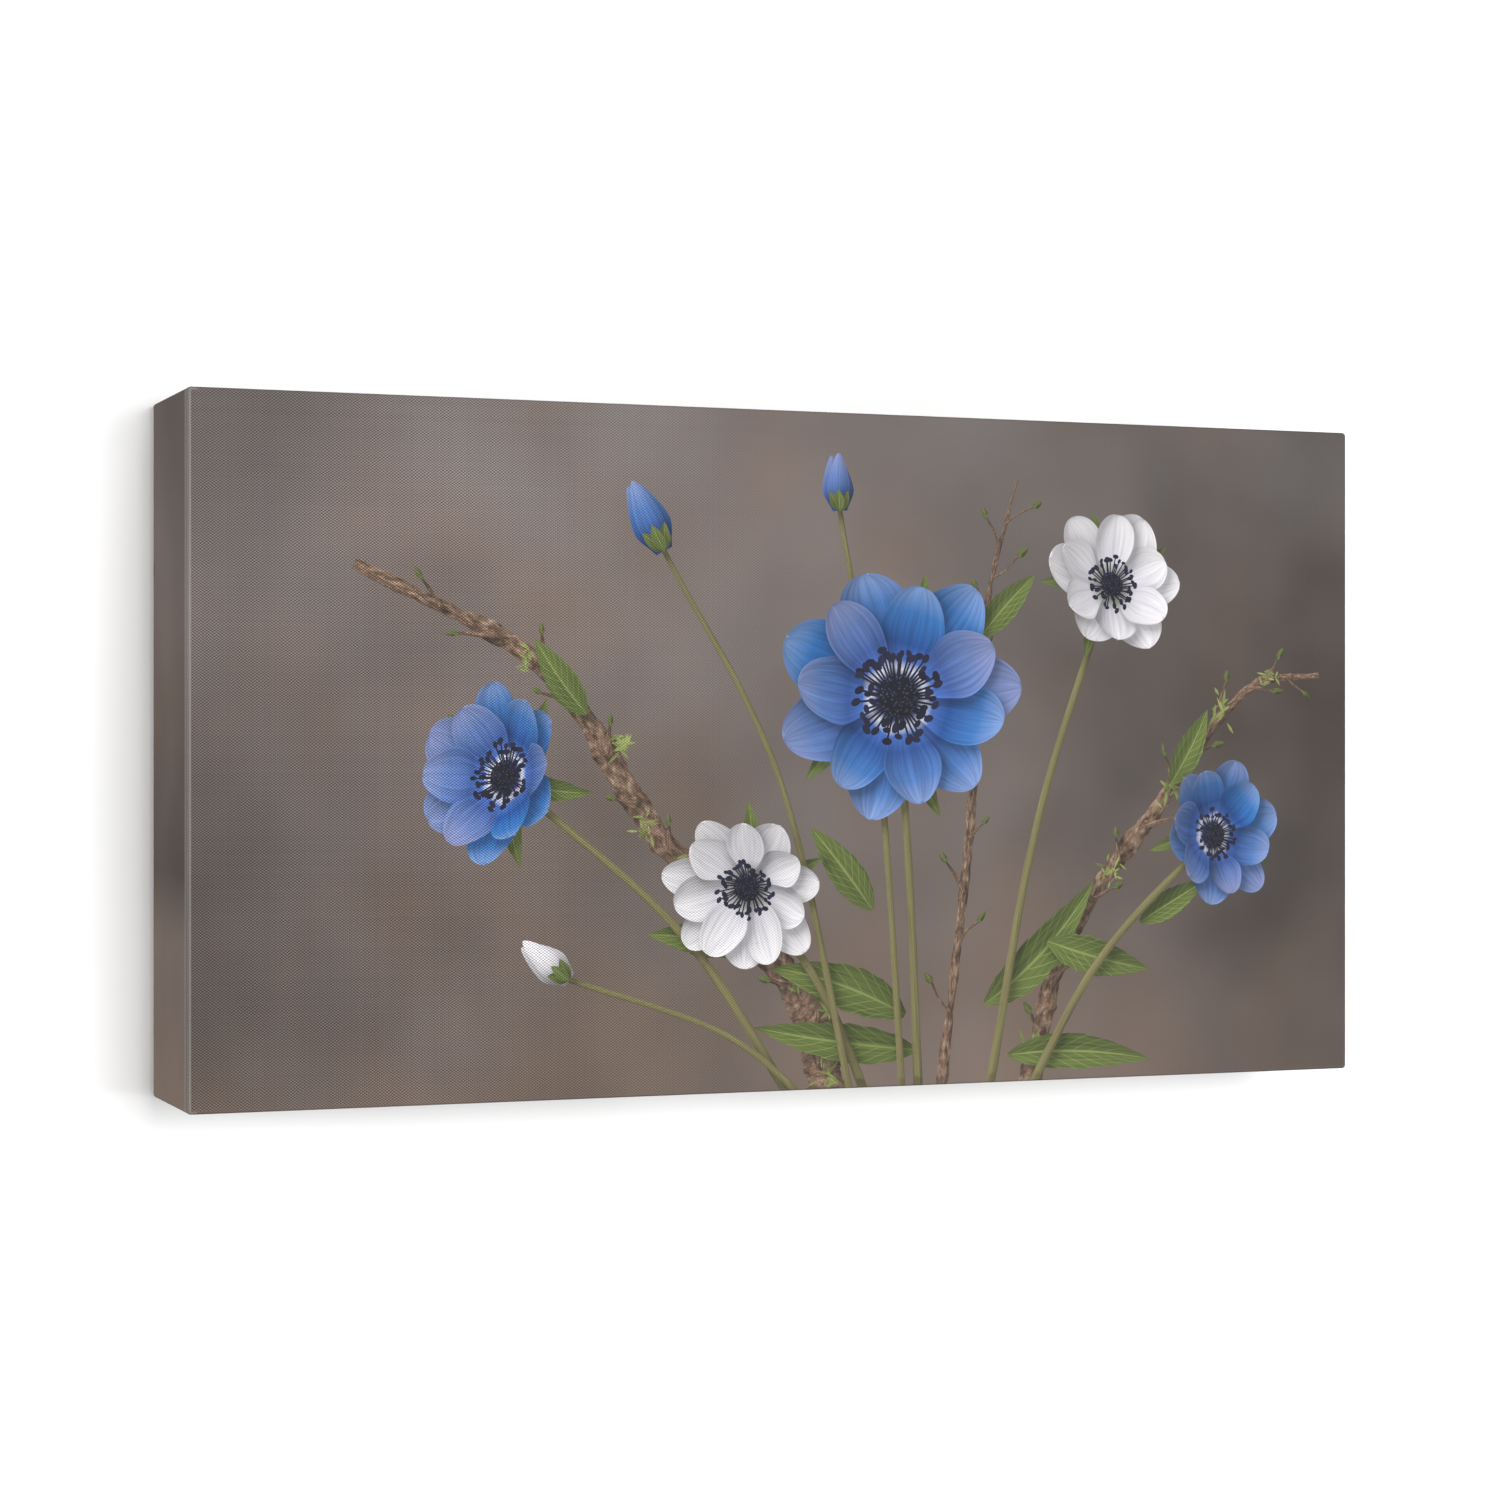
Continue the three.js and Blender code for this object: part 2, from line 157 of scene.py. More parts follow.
def surface_patch(place, t_steps, s_steps, ambient=0.5, first=0.0):
    """The flat drawing of a surface: its outline, and a grid with t, s and the tone. The steps
    grow closer towards t = 1, where a tip turns round. first is what t reads at its foot."""
    rows = np.sin(np.linspace(0, math.pi / 2, t_steps))
    t, s = np.meshgrid(rows, np.linspace(-1, 1, s_steps), indexing="ij")
    points = place(t, s)
    normal = np.cross(np.gradient(points, axis=0), np.gradient(points, axis=1))
    normal /= np.maximum(np.linalg.norm(normal, axis=-1, keepdims=True), 1e-9)
    normal *= np.sign(normal[..., 2:] + 1e-9)
    tone = ambient + (1 - ambient) * np.clip(normal @ LIGHT, 0, 1) / LIGHT[2]
    flat = points[..., :2]
    outline = np.concatenate([flat[:, 0], flat[-1, 1:-1], flat[::-1, -1], flat[0, -2:0:-1]])
    return outline, {"grid": flat, "values": np.stack([first + (1 - first) * t, s, tone], axis=-1)}


print("a soft step from 0 to 1:", smooth([0, 0.25, 0.5, 1], 0, 1).round(2))

# %% [markdown]
# Flowers
#
# A flower is two rings of petals, then stamens, then a domed middle. The rings are turned
# against each other by half a petal. Each petal gets its own small differences of length,
# width and curl from a seeded generator, because equal petals look stamped.

# %% Petals and the middle of a flower
def petal_width(t, base=0.24, widest=0.62):
    """How wide a petal is along its length, as a share of its widest."""
    swell = base + (1 - base) * smooth(t, 0, widest)
    past = np.clip(t - widest, 0, 1) / (1 - widest)
    return swell * np.maximum(np.sqrt(np.clip(1 - past**2, 0, 1)), 0.03)


def axes_of(tilt):
    """Two directions in a flower's own plane and one along its axis, for a tilt of the axis."""
    axis = np.array([tilt[0], tilt[1], 1.0])
    axis /= np.linalg.norm(axis)
    first = np.cross([0.0, 1.0, 0.0], axis)
    first /= np.linalg.norm(first)
    return first, np.cross(axis, first), axis


def petal(ink, centre, axes, angle, length, width, root, cup, channel, curl, ruffle, seed):
    """One petal: cup is how far it rises, channel how much it is hollowed along its middle."""
    first, second, axis = axes
    out = math.cos(angle) * first + math.sin(angle) * second
    side = -math.sin(angle) * first + math.cos(angle) * second

    def place(t, s):
        broad = petal_width(t)
        half = width * broad * (1 + ruffle * np.sin(9 * t + seed) * np.abs(s))
        reach = root + length * t * (1 - 0.06 * (s * broad) ** 2)
        across = s * half + curl * length * t**2
        rise = cup * length * t**1.6 + channel * width * broad * (s**2 - 0.4) * smooth(t, 0, 0.7)
        rise = rise + ruffle * width * np.sin(5 * t + 3.1 * s + seed) * t
        flat = reach[..., None] * out + across[..., None] * side
        return centre + flat + rise[..., None] * axis

    outline, patch = surface_patch(place, 26, 13)
    add_shape(ink, outline, patch, variety=seed)


def disc(ink, centre, axes, radius, rise, variety, bumps):
    """The domed middle of a flower."""
    first, second, axis = axes
    base = centre + rise * axis
    turn = np.linspace(0, 2 * math.pi, 40, endpoint=False)
    rim = radius * (1 + bumps * np.sin(turn * 11))
    outline = base + np.outer(np.cos(turn) * rim, first) + np.outer(np.sin(turn) * rim, second)
    across = np.linspace(-1.06, 1.06, 9)
    x, y = np.meshgrid(across, across, indexing="ij")
    places = base + radius * (x[..., None] * first + y[..., None] * second)
    tones = 0.75 + 0.55 * (x * LIGHT[0] + y * LIGHT[1])
    patch = {"grid": places[..., :2], "values": np.stack([x, y, tones], axis=-1)}
    add_shape(ink, outline[:, :2], patch, variety=variety)


def bead(centre, size, lean):
    """A small oval, as the outline of a stamen's head."""
    turn = np.linspace(0, 2 * math.pi, 9, endpoint=False)
    long, short = np.cos(turn) * size * 1.35, np.sin(turn) * size * 0.9
    return centre + np.stack([long * math.cos(lean) - short * math.sin(lean),
                              long * math.sin(lean) + short * math.cos(lean)], axis=1)


print("petal widths:", petal_width(np.linspace(0, 1, 6)).round(2))


# %% Whole flowers and buds
def flower(ink, centre, radius, tilt, petals, seed, cup):
    """A whole flower, from its lowest petals up to its middle."""
    draw = np.random.default_rng(seed)
    axes = axes_of(tilt)
    centre = np.array([*centre, 0.0])
    for share, size, lift in ((0.5, 1.0, 0.0), (0.0, 0.86, 0.10)):
        for k in draw.permutation(petals):
            angle = 0.7 * seed + 2 * math.pi * (k + share) / petals + draw.normal(0, 0.06)
            petal(ink, centre, axes, angle,
                  length=radius * size * draw.uniform(0.84, 0.97),
                  width=radius * size * draw.uniform(0.27, 0.34) * 6.5 / petals,
                  root=radius * 0.06, cup=cup + lift, channel=draw.uniform(0.15, 0.5),
                  curl=draw.normal(0, 0.035), ruffle=0.045, seed=draw.uniform(0, 50))
    middle = radius * 0.16
    stamens = int(30 + radius * 0.6)
    for k in range(stamens):
        angle = 2 * math.pi * (k + draw.uniform(-0.3, 0.3)) / stamens
        way = math.cos(angle) * axes[0] + math.sin(angle) * axes[1]
        foot = (centre + middle * 0.8 * way + 0.06 * radius * axes[2])[:2]
        tip = (centre + radius * draw.uniform(0.22, 0.36) * way
               + radius * draw.uniform(0.10, 0.20) * axes[2])[:2]
        along = tip - foot
        thin = radius * 0.008 * left_of(along) / np.linalg.norm(along)
        add_shape("stamen", [foot - thin, tip - thin, tip + thin, foot + thin],
                  tone=draw.uniform(0.8, 1.3), casts=False)
        add_shape("stamen", bead(tip, radius * draw.uniform(0.022, 0.034), draw.uniform(0, 3.1)),
                  tone=draw.uniform(0.7, 1.8), casts=False)
    disc("eye", centre, axes, middle, 0.1 * radius, variety=seed, bumps=0.03)


def bud(ink, foot, tip, width, seed):
    """A closed flower: a few petals wrapped round each other, seen from the side."""
    draw = np.random.default_rng(seed)
    foot, tip = np.array(foot, float), np.array(tip, float)
    length = np.linalg.norm(tip - foot)
    along = (tip - foot) / length
    across = left_of(along)
    for offset, share, reach in ((-0.42, 0.62, 0.93), (0.42, 0.62, 0.96), (0.05, 0.70, 1.0)):
        lean = draw.normal(0, 0.03)

        def place(t, s):
            half = width * share * petal_width(t, 0.5, 0.42) * (1 - 0.45 * t**2)
            x = length * reach * t
            y = s * half + offset * width * (1 - 0.55 * t) * smooth(t, -0.2, 0.4) + lean * x
            z = half * np.sqrt(np.clip(1 - 0.9 * s**2, 0, 1))
            flat = foot + x[..., None] * along + y[..., None] * across
            return np.concatenate([flat, z[..., None]], axis=-1)

        outline, patch = surface_patch(place, 18, 9, ambient=0.45, first=0.36)
        add_shape(ink, outline, patch, variety=draw.uniform(0, 50))
    for lean in (-0.5, 0.45, 0.0):
        leaf(foot, math.atan2(*along[::-1]) + lean, length * 0.38, width * 0.3, seed + lean, 2, 0.0)


print("axes of a flower that looks up:", [a.round(2).tolist() for a in axes_of((0, 0.3))])

# %% [markdown]
# Stems, twigs and leaves
#
# A stem is a band along a smooth curve, shaded as a round rod. A twig is the same with a rough
# edge. A leaf is a patch with a pointed outline and small teeth, folded a little along its
# middle so that its two halves catch different light.

# %% Stems, twigs and leaves
def curve_through(points, steps):
    """A smooth curve through a few points, and its direction at each step."""
    points = np.array(points, float)
    before, after = 2 * points[:1] - points[1:2], 2 * points[-1:] - points[-2:-1]
    padded = np.concatenate([before, points, after])
    places = []
    for value in np.linspace(0, len(points) - 1, steps):
        k = min(int(value), len(points) - 2)
        u = value - k
        p0, p1, p2, p3 = padded[k:k + 4]
        places.append(p1 + 0.5 * u * (p2 - p0 + u * (2 * p0 - 5 * p1 + 4 * p2 - p3
                                                     + u * (3 * (p1 - p2) + p3 - p0))))
    places = np.array(places)
    way = np.gradient(places, axis=0)
    return places, way / np.linalg.norm(way, axis=1, keepdims=True)


def soft_noise(draw, count):
    """Random numbers in a row that change slowly."""
    return np.convolve(draw.normal(0, 1, count + 4), np.ones(5) / 5, mode="valid")


def band(ink, points, start, end, seed, rough=0.0, steps=60):
    """A stem or twig from its foot to its tip. start and end are its half widths."""
    draw = np.random.default_rng(seed)
    places, way = curve_through(points, steps)
    across = np.stack([-way[:, 1], way[:, 0]], axis=1)
    t = np.linspace(0, 1, steps)
    half = (start + (end - start) * t) * (1 + rough * soft_noise(draw, steps))
    places = places + across * (half * rough * 0.6 * soft_noise(draw, steps))[:, None]
    s = np.linspace(-1, 1, 7)
    grid = places[:, None] + across[:, None] * (half[:, None] * s)[..., None]
    facing = (across @ LIGHT[:2])[:, None] * s + np.sqrt(1 - s**2 * 0.96) * LIGHT[2]
    tone = 0.42 + 0.62 * np.clip(facing, 0, 1)
    length = np.linalg.norm(np.diff(places, axis=0), axis=1).sum()
    along = np.broadcast_to((t * length / 20)[:, None], tone.shape)
    patch = {"grid": grid, "values": np.stack([along, np.broadcast_to(s, tone.shape), tone], -1)}
    add_shape(ink, np.concatenate([grid[:, 0], grid[::-1, -1]]), patch, variety=seed)
    return places, way, half


def leaf(foot, angle, length, width, seed, teeth, curl):
    """A pointed leaf with toothed edges."""
    along = heading(angle)
    across = left_of(along)
    phase = (seed * 0.37) % 1.0
    fold = 0.5  # how steeply its two halves rise from the middle

    def place(t, s):
        tooth = 1 + 0.10 * ((t * teeth + phase) % 1.0 - 0.5) * np.abs(s)
        half = width * np.sin(math.pi * np.clip(t, 0.012, 0.992) ** 0.78) ** 0.85 * tooth
        y = s * half + curl * length * t**2
        z = fold * half * np.abs(s) + 0.12 * length * np.sin(2.6 * t)
        flat = np.array(foot, float) + length * t[..., None] * along + y[..., None] * across
        return np.concatenate([flat, z[..., None]], axis=-1)

    outline, patch = surface_patch(place, 1 + 6 * teeth, 9, ambient=0.4)
    add_shape("leaf", outline, patch, variety=seed)


print("curve check:", curve_through([(0, 0), (10, 5), (20, 0)], 5)[0].round(1).tolist())

# %% [markdown]
# The layout
#
# A loose spray rises from the lower edge: woody twigs and leaves behind, stems over them, then
# the flowers, with the largest a little right of the middle. The shapes that cross the lower
# edge will carry on, mirrored, round the side, as on a real gallery wrap.

# %% Lay out the picture
draw = np.random.default_rng(11)
FOOT = np.array([30.0, -84.0])  # below the lower edge, near where the stems leave the picture


def tuft(place, size, seed):
    """A cluster of very young leaves: short blades in all directions."""
    draw = np.random.default_rng(seed)
    for _ in range(16):
        ahead = heading(draw.uniform(0, 2 * math.pi))
        side = left_of(ahead) * size * 0.09
        root = place + draw.normal(0, size * 0.35, 2)
        tip = root + ahead * size * draw.uniform(0.5, 1.0)
        middle = (root + tip) / 2
        add_shape("leaf", [root - side / 3, middle - side, tip, middle + side, root + side / 3],
                  tone=draw.uniform(0.55, 1.25), variety=seed, casts=False)


TWIGS = [  # points, half width at the foot and at the tip, seed, steps between tufts (0: none)
    ([(6, -84), (-2, -54), (-36, -18), (-62, 18), (-104, 40)], 5.2, 1.1, 3, 11),
    ([(54, -84), (64, -46), (88, -14), (112, 14), (132, 18)], 3.0, 0.6, 5, 19),
    ([(32, -84), (40, -20), (44, 30), (52, 62)], 1.5, 0.4, 7, 0),
]
for points, start, end, seed, between in TWIGS:
    places, way, half = band("twig", points, start, end, seed, rough=0.3, steps=130)
    for k in range(16, len(places) - 6, 9):
        side = 1 if (k // 9) % 2 else -1
        ahead = heading(math.atan2(way[k][1], way[k][0]) + side * draw.uniform(0.5, 0.9))
        tip = places[k] + draw.uniform(4.0, 9.0) * ahead
        bent = (places[k] + tip) / 2 + draw.normal(0, 0.4, 2)
        band("twig", [places[k], bent, tip], half[k] * 0.45, 0.25, seed * 100 + k, rough=0.2, steps=12)
        bud("leaf", tip, tip + draw.uniform(2.4, 3.6) * ahead, draw.uniform(0.7, 1.0), seed * 31 + k)
    for k in range(12, len(places) - 20, between) if between else ():
        tuft(places[k] + draw.normal(0, half[k] * 0.5, 2), draw.uniform(2.6, 4.6), seed * 77 + k)

LEAVES = [  # foot, direction, length, half width, seed
    ((24, -60), 2.62, 34, 5.2, 1), ((44, -58), 0.55, 38, 5.0, 2), ((16, -36), 2.2, 24, 4.0, 3),
    ((60, -44), -0.35, 27, 4.4, 4), ((27, -68), 3.05, 40, 4.4, 5), ((50, -70), 0.10, 36, 4.2, 6),
    ((-52, 8), 2.3, 20, 3.6, 7), ((92, -8), 0.95, 20, 3.4, 8), ((43, 26), 0.9, 20, 3.4, 9),
    ((-14, -44), 2.9, 24, 3.8, 10), ((84, -40), 0.5, 20, 3.2, 11),
]
for foot, angle, length, width, seed in LEAVES:
    leaf(foot, angle, length, width, seed, teeth=5 + seed % 3, curl=draw.uniform(-0.25, 0.25))

FLOWERS = [  # ink, centre, radius, tilt of the axis, petals in a ring, seed, cup
    ("blue petal", (-70, -6), 21, (-0.80, 0.25), 6, 21, 0.34),
    ("blue petal", (103, -20), 18, (0.62, 0.10), 6, 22, 0.30),
    ("white petal", (76, 38), 19, (0.42, 0.46), 6, 23, 0.28),
    ("white petal", (-14, -30), 20, (-0.30, -0.34), 7, 24, 0.20),
    ("blue petal", (22, 12), 31, (0.10, 0.14), 7, 25, 0.16),
]
BUDS = [  # ink, foot, tip, half width, seed
    ("blue petal", (-34, 44), (-42, 59), 5.0, 41),
    ("blue petal", (8, 54), (7, 67), 4.2, 42),
    ("white petal", (-56, -50), (-67, -42), 4.4, 43),
]
for ink, centre, radius, tilt, petals, seed, cup in FLOWERS:
    foot = FOOT + (np.array(centre) - FOOT) * (0.30, 0.0)
    middle = foot + (np.array(centre) - foot) * (0.42, 0.55)
    band("stem", [foot, middle, centre], 1.15, 0.8, seed, rough=0.06)
    for k in range(5):
        leaf(centre, 2 * math.pi * k / 5 + seed, radius * 0.92, radius * 0.13, seed * 9 + k, 4, 0.2)
for ink, foot, tip, width, seed in BUDS:
    start = FOOT + (np.array(foot) - FOOT) * (0.28, 0.0)
    band("stem", [start, start + (np.array(foot) - start) * (0.4, 0.6), foot], 0.9, 0.6, seed)
    bud(ink, foot, tip, width, seed)
for spec in FLOWERS:
    flower(*spec)
print("shapes:", len(shapes))

# %% [markdown]
# Light on the paper shapes
#
# Two questions are asked of many points at once: how far a point is from an outline, for the
# soft shadow of one shape on another, and which numbers a patch has at a point.

# %% Read outlines and patches at many points
SHADOW_SHIFT = 2.2  # mm that a shadow falls away from the light
SHADOW_DEPTH, SHADOW_FADE = 0.52, 1.4  # share of the light that it takes, and mm over which it fades


def inside(outline, points):
    """Which points lie inside a closed outline."""
    a, b = outline, np.roll(outline, -1, axis=0)
    x, y = points[:, :1], points[:, 1:]
    crosses = (a[:, 1] > y) != (b[:, 1] > y)
    rise = np.where(b[:, 1] == a[:, 1], 1e-12, b[:, 1] - a[:, 1])
    at = (b[:, 0] - a[:, 0]) * (y - a[:, 1]) / rise + a[:, 0]
    return (crosses & (x < at)).sum(axis=1) % 2 == 1


def segment_distance(a, b, points):
    """How far each point is from each stretch between a and b."""
    along = b - a
    size = np.maximum((along**2).sum(axis=-1), 1e-12)
    offset = points[:, None, :] - a
    t = np.clip((offset * along).sum(axis=-1) / size, 0, 1)
    return np.linalg.norm(offset - t[..., None] * along, axis=-1)


def read_patch(patch, points):
    """The numbers of a patch at some points, from the triangle of its grid that holds each."""
    rows, columns = patch["grid"].shape[:2]
    index = np.arange(rows * columns).reshape(rows, columns)
    a, b, c, d = index[:-1, :-1], index[1:, :-1], index[1:, 1:], index[:-1, 1:]
    triangles = np.concatenate([np.stack([a, b, c], -1).reshape(-1, 3),
                                np.stack([a, c, d], -1).reshape(-1, 3)])
    flat = patch["grid"].reshape(-1, 2)
    p0, e1, e2 = flat[triangles[:, 0]], *(flat[triangles[:, k]] - flat[triangles[:, 0]] for k in (1, 2))
    area = e1[:, 0] * e2[:, 1] - e1[:, 1] * e2[:, 0]
    area = np.where(np.abs(area) < 1e-9, 1e-9, area)
    offset = points[:, None, :] - p0
    u = (offset[..., 0] * e2[:, 1] - offset[..., 1] * e2[:, 0]) / area
    v = (e1[:, 0] * offset[..., 1] - e1[:, 1] * offset[..., 0]) / area
    least = np.minimum(np.minimum(u, v), 1 - u - v)
    best = (np.maximum(0, -least) * np.sqrt(np.abs(area))).argmin(axis=1)
    pick = np.arange(len(points))
    share = np.clip(np.stack([1 - u - v, u, v], -1)[pick, best], 0, 1)
    share /= share.sum(axis=1, keepdims=True)
    values = patch["values"].reshape(rows * columns, -1)[triangles[best]]
    return (share[..., None] * values).sum(axis=1)


def shade_under(owner, points):
    """The soft shadow on a shape from those that lie over it, as a share of the light."""
    lit = np.ones(len(points))
    towards = points + LIGHT[:2] * SHADOW_SHIFT
    for above in shapes[owner + 1:]:
        near = ((points > above["low"] - 5) & (points < above["high"] + 5)).all(axis=1)
        if above["casts"] and near.any():
            outline = above["outline"]
            far = segment_distance(outline, np.roll(outline, -1, axis=0), towards[near]).min(axis=1)
            far[inside(outline, towards[near])] = 0
            lit[near] = np.minimum(lit[near], 1 - SHADOW_DEPTH * np.exp(-far / SHADOW_FADE))
    return lit


def paint(owner, points):
    """Place on the motif, tone and variety at some points of one shape."""
    shape = shapes[owner]
    if shape["patch"] is None:
        values = np.tile([0.5, 0.0, shape["tone"]], (len(points), 1))
    else:
        values = read_patch(shape["patch"], points)
    return values[:, :2], values[:, 2] * shade_under(owner, points)


print("distance check:", segment_distance(np.zeros((1, 2)), np.ones((1, 2)), np.array([[1.0, 0]])))

# %% [markdown]
# The sheet's panels
#
# The cloth is modelled as it is cut: a front, four sides and four margins that turn on to the
# back. Each side with its margin is one flat panel. Every panel is triangulated so that the
# picture's outlines, the fold lines and the creases are edges of the mesh, and is then bent
# into place. On a side panel the picture is mirrored about the front edge.
#
# One function describes the upper side. Quarter turns of it make the other three, so that
# their corners meet point to point.

# %% Panel sizes
EDGE_RADIUS = 0.9  # mm, how sharply the canvas turns over the bars
TURNOVER = 18.0  # mm, width of the margin on the back
BLEED = 5.0  # mm, how far the print reaches on to the back
CLOTH = 0.5  # mm, the canvas's thickness
EDGE_STEP = 4.0  # mm between points along the panels' edges
FINE_STEP = 0.9  # mm between points inside the drawn shapes
CREASE = 0.5  # mm over which a folded edge rises
ROW_STEP = 0.866  # from one row of a honeycomb to the next, in steps
REACH = DEPTH + TURNOVER

round_lines = [EDGE_RADIUS * (1 - math.tan(math.radians(a))) for a in (36, 27, 18, 9, 0)]
round_lines.append(EDGE_RADIUS + 0.5)
crease_lines = [0.0, 0.06, 0.2, CREASE]


def even(start, end, step):
    """Even steps from start to end, both included."""
    return np.linspace(start, end, max(2, int(round(abs(end - start) / step)) + 1))


def ticks(low, high):
    """Places along an edge from low to high, closer together near its ends."""
    near = np.array(round_lines)
    middle = even(low + near.max(), high - near.max(), EDGE_STEP)
    return np.unique(np.round(np.concatenate([[low, high], low + near, high - near, middle]), 6))


def turned(along, out, quarter):
    """Sheet coordinates of a point given in the upper panel's, for the panel quarter turns on."""
    for _ in range(quarter):
        along, out = out, -along
    return along, out


def turned_back(x, y, quarter):
    """The upper panel's coordinates of a point given on the sheet."""
    for _ in range(quarter):
        x, y = -y, x
    return x, y


def half_sizes(quarter):
    """Half the length of a side panel, and how far its front edge is from the middle."""
    return (HALF_H, HALF_W) if quarter % 2 else (HALF_W, HALF_H)


print("ticks along the height:", len(ticks(-HALF_H, HALF_H)), "width:", len(ticks(-HALF_W, HALF_W)))

# %% [markdown]
# Cutting a panel
#
# Blender's own constrained triangulation takes a panel's border, its fold lines and the
# picture's outlines at once. Each small triangle then belongs to the topmost outline that its
# middle lies in.

# %% Cut a panel
def cut_panel(border, lines, extra, outlines):
    """Points, triangles, and for each triangle the topmost outline it lies in, or -1."""
    verts, edges, faces = [], [], []

    def put_points(points):
        start = len(verts)
        verts.extend(Vector((float(x), float(y))) for x, y in points)
        return list(range(start, len(verts)))

    for outline in [np.array(border, float), *outlines]:
        faces.append(put_points(counter_clockwise(outline)))
    for line in lines:
        run = put_points(line)
        edges.extend(zip(run[:-1], run[1:]))
    put_points(extra)
    points, _, triangles, _, _, owners = delaunay_2d_cdt(verts, edges, faces, 0, 1e-5, True)
    points = np.array([p[:] for p in points])
    triangles = np.array([t for t, owner in zip(triangles, owners) if 0 in owner])
    middles = points[triangles].mean(axis=1)
    topmost = np.full(len(triangles), -1)
    for k, outline in enumerate(outlines):
        near = np.flatnonzero(((middles > outline.min(axis=0)) & (middles < outline.max(axis=0))).all(axis=1))
        topmost[near[inside(outline, middles[near])]] = k
    return points, triangles, topmost


def honeycomb(low, high, step):
    """Points in a honeycomb over a box, clear of its lower and upper border."""
    rows = np.arange(low[1] + step / 2, high[1] - step / 4, step * ROW_STEP)
    columns = np.arange(low[0], high[0], step)
    x, y = np.meshgrid(columns, rows)
    x = x + (np.arange(len(rows)) % 2)[:, None] * step / 2
    return np.stack([x.ravel(), y.ravel()], axis=1)


def fine_points(outlines, low, high):
    """Close points inside the larger shapes, so that their shading can change there."""
    points = honeycomb(low, high, FINE_STEP)
    wanted = np.zeros(len(points), bool)
    for outline in outlines:
        corner, far_corner = outline.min(axis=0), outline.max(axis=0)
        near = np.flatnonzero(((points > corner) & (points < far_corner)).all(axis=1) & ~wanted)
        if np.min(far_corner - corner) > 2 * FINE_STEP and len(near):
            wanted[near] = inside(outline, points[near])
    return points[wanted]


SQUARE = [(-5, -5), (5, -5), (5, 5), (-5, 5)]
print("a square with a line across:", len(cut_panel(SQUARE, [[(-5, 0), (5, 0)]], [], [])[1]), "triangles")

# %% [markdown]
# From the flat sheet to the wrapped one
#
# A point of the sheet is first carried to a box with sharp edges. Then it is rounded: its
# nearest point on a slightly smaller box is found, and it is set one edge radius away from
# that. The same rule rounds edges and corners alike. The folded corners, and the swell of the
# cloth round the staples, then lift it straight out.

# %% Bend a panel
def rounded(sharp):
    """Rounded places and outward directions of points on the sharp box."""
    low = np.array([-HALF_W, FRONT_Y, MIDDLE_Z - HALF_H]) + EDGE_RADIUS
    high = np.array([HALF_W, BACK_Y, MIDDLE_Z + HALF_H]) - EDGE_RADIUS
    core = np.clip(sharp, low, high)
    away = sharp - core
    away /= np.maximum(np.linalg.norm(away, axis=1, keepdims=True), 1e-9)
    return core + EDGE_RADIUS * away, away


def crown_of(name):
    """The two ends of a staple's crown, as x and z on the back, from the middle."""
    points = np.array([v.co for v in nodes[name].data.vertices]) / MM
    flat = points[points[:, 1] > points[:, 1].max() - 0.3][:, [0, 2]] - [0, MIDDLE_Z]
    middle = flat.mean(axis=0)
    way = np.linalg.svd(flat - middle, full_matrices=False)[2][0]
    reach = (flat - middle) @ way
    return [middle + way * reach.min(), middle + way * reach.max()]


crowns = np.array([crown_of(name) for name in sorted(nodes) if name.startswith("staple")])


def folded_corners(along, out, quarter):
    """How far the folded corners stand out: triangles on the top and bottom, bands on the back."""
    if quarter % 2:
        return np.zeros_like(along)
    from_corner = HALF_W - np.abs(along)
    past_crease = (out - from_corner) / math.sqrt(2)
    past_mitre = np.where(out > DEPTH, (from_corner - (out - DEPTH)) / math.sqrt(2), CREASE)
    lip = np.clip(np.minimum(past_crease, past_mitre) / CREASE, 0, 1)
    root = np.where(out > DEPTH, 1.0, smooth(from_corner, 0.5, 3.0) * smooth(out, 1.5, 9.0))
    return FOLD_LAYER * np.sqrt(1 - (1 - lip) ** 2) * root


def swell(along, out, quarter):
    """How far the margin stands off the wood: in a ring round each staple, and at its edge."""
    half, half_out = half_sizes(quarter)
    inwards = np.maximum(out - DEPTH, 0)
    places = np.stack(turned(along, half_out - inwards, quarter), axis=1)
    far = segment_distance(crowns[:, 0], crowns[:, 1], places).min(axis=1)
    ring = 0.45 * np.exp(-(far / 3.2) ** 2) - 0.15 * np.exp(-(far / 0.8) ** 2)
    loose = 0.16 * (1 + np.sin(along / 5.1 + quarter)) * smooth(inwards, 9, 18)
    ends = smooth(half - np.abs(along) - inwards, 0, 3)
    return (ring + loose * ends) * smooth(inwards, 0, 2.5)


print("staples:", len(crowns), "crown length:", round(float(np.linalg.norm(crowns[0][1] - crowns[0][0])), 1))

# %% [markdown]
# Cutting and bending all five panels
#
# Every point keeps two maps besides its place: `cloth`, where it is on the flat sheet, which
# the weave follows, and `picture`, where it is in the mirrored picture. Each corner of each
# triangle also gets its place on its petal or leaf, its tone and its ink.

# %% Cut and bend the panels
INKS = ["ground", "blue petal", "white petal", "stamen", "eye", "stem", "twig", "leaf",
        "bare canvas", "reverse"]
sheet = {key: [] for key in ("places", "triangles", "cloth", "picture", "motif", "tone",
                             "variety", "ink", "chart")}
cut_edge = []  # points along the cut edge, with the way inwards


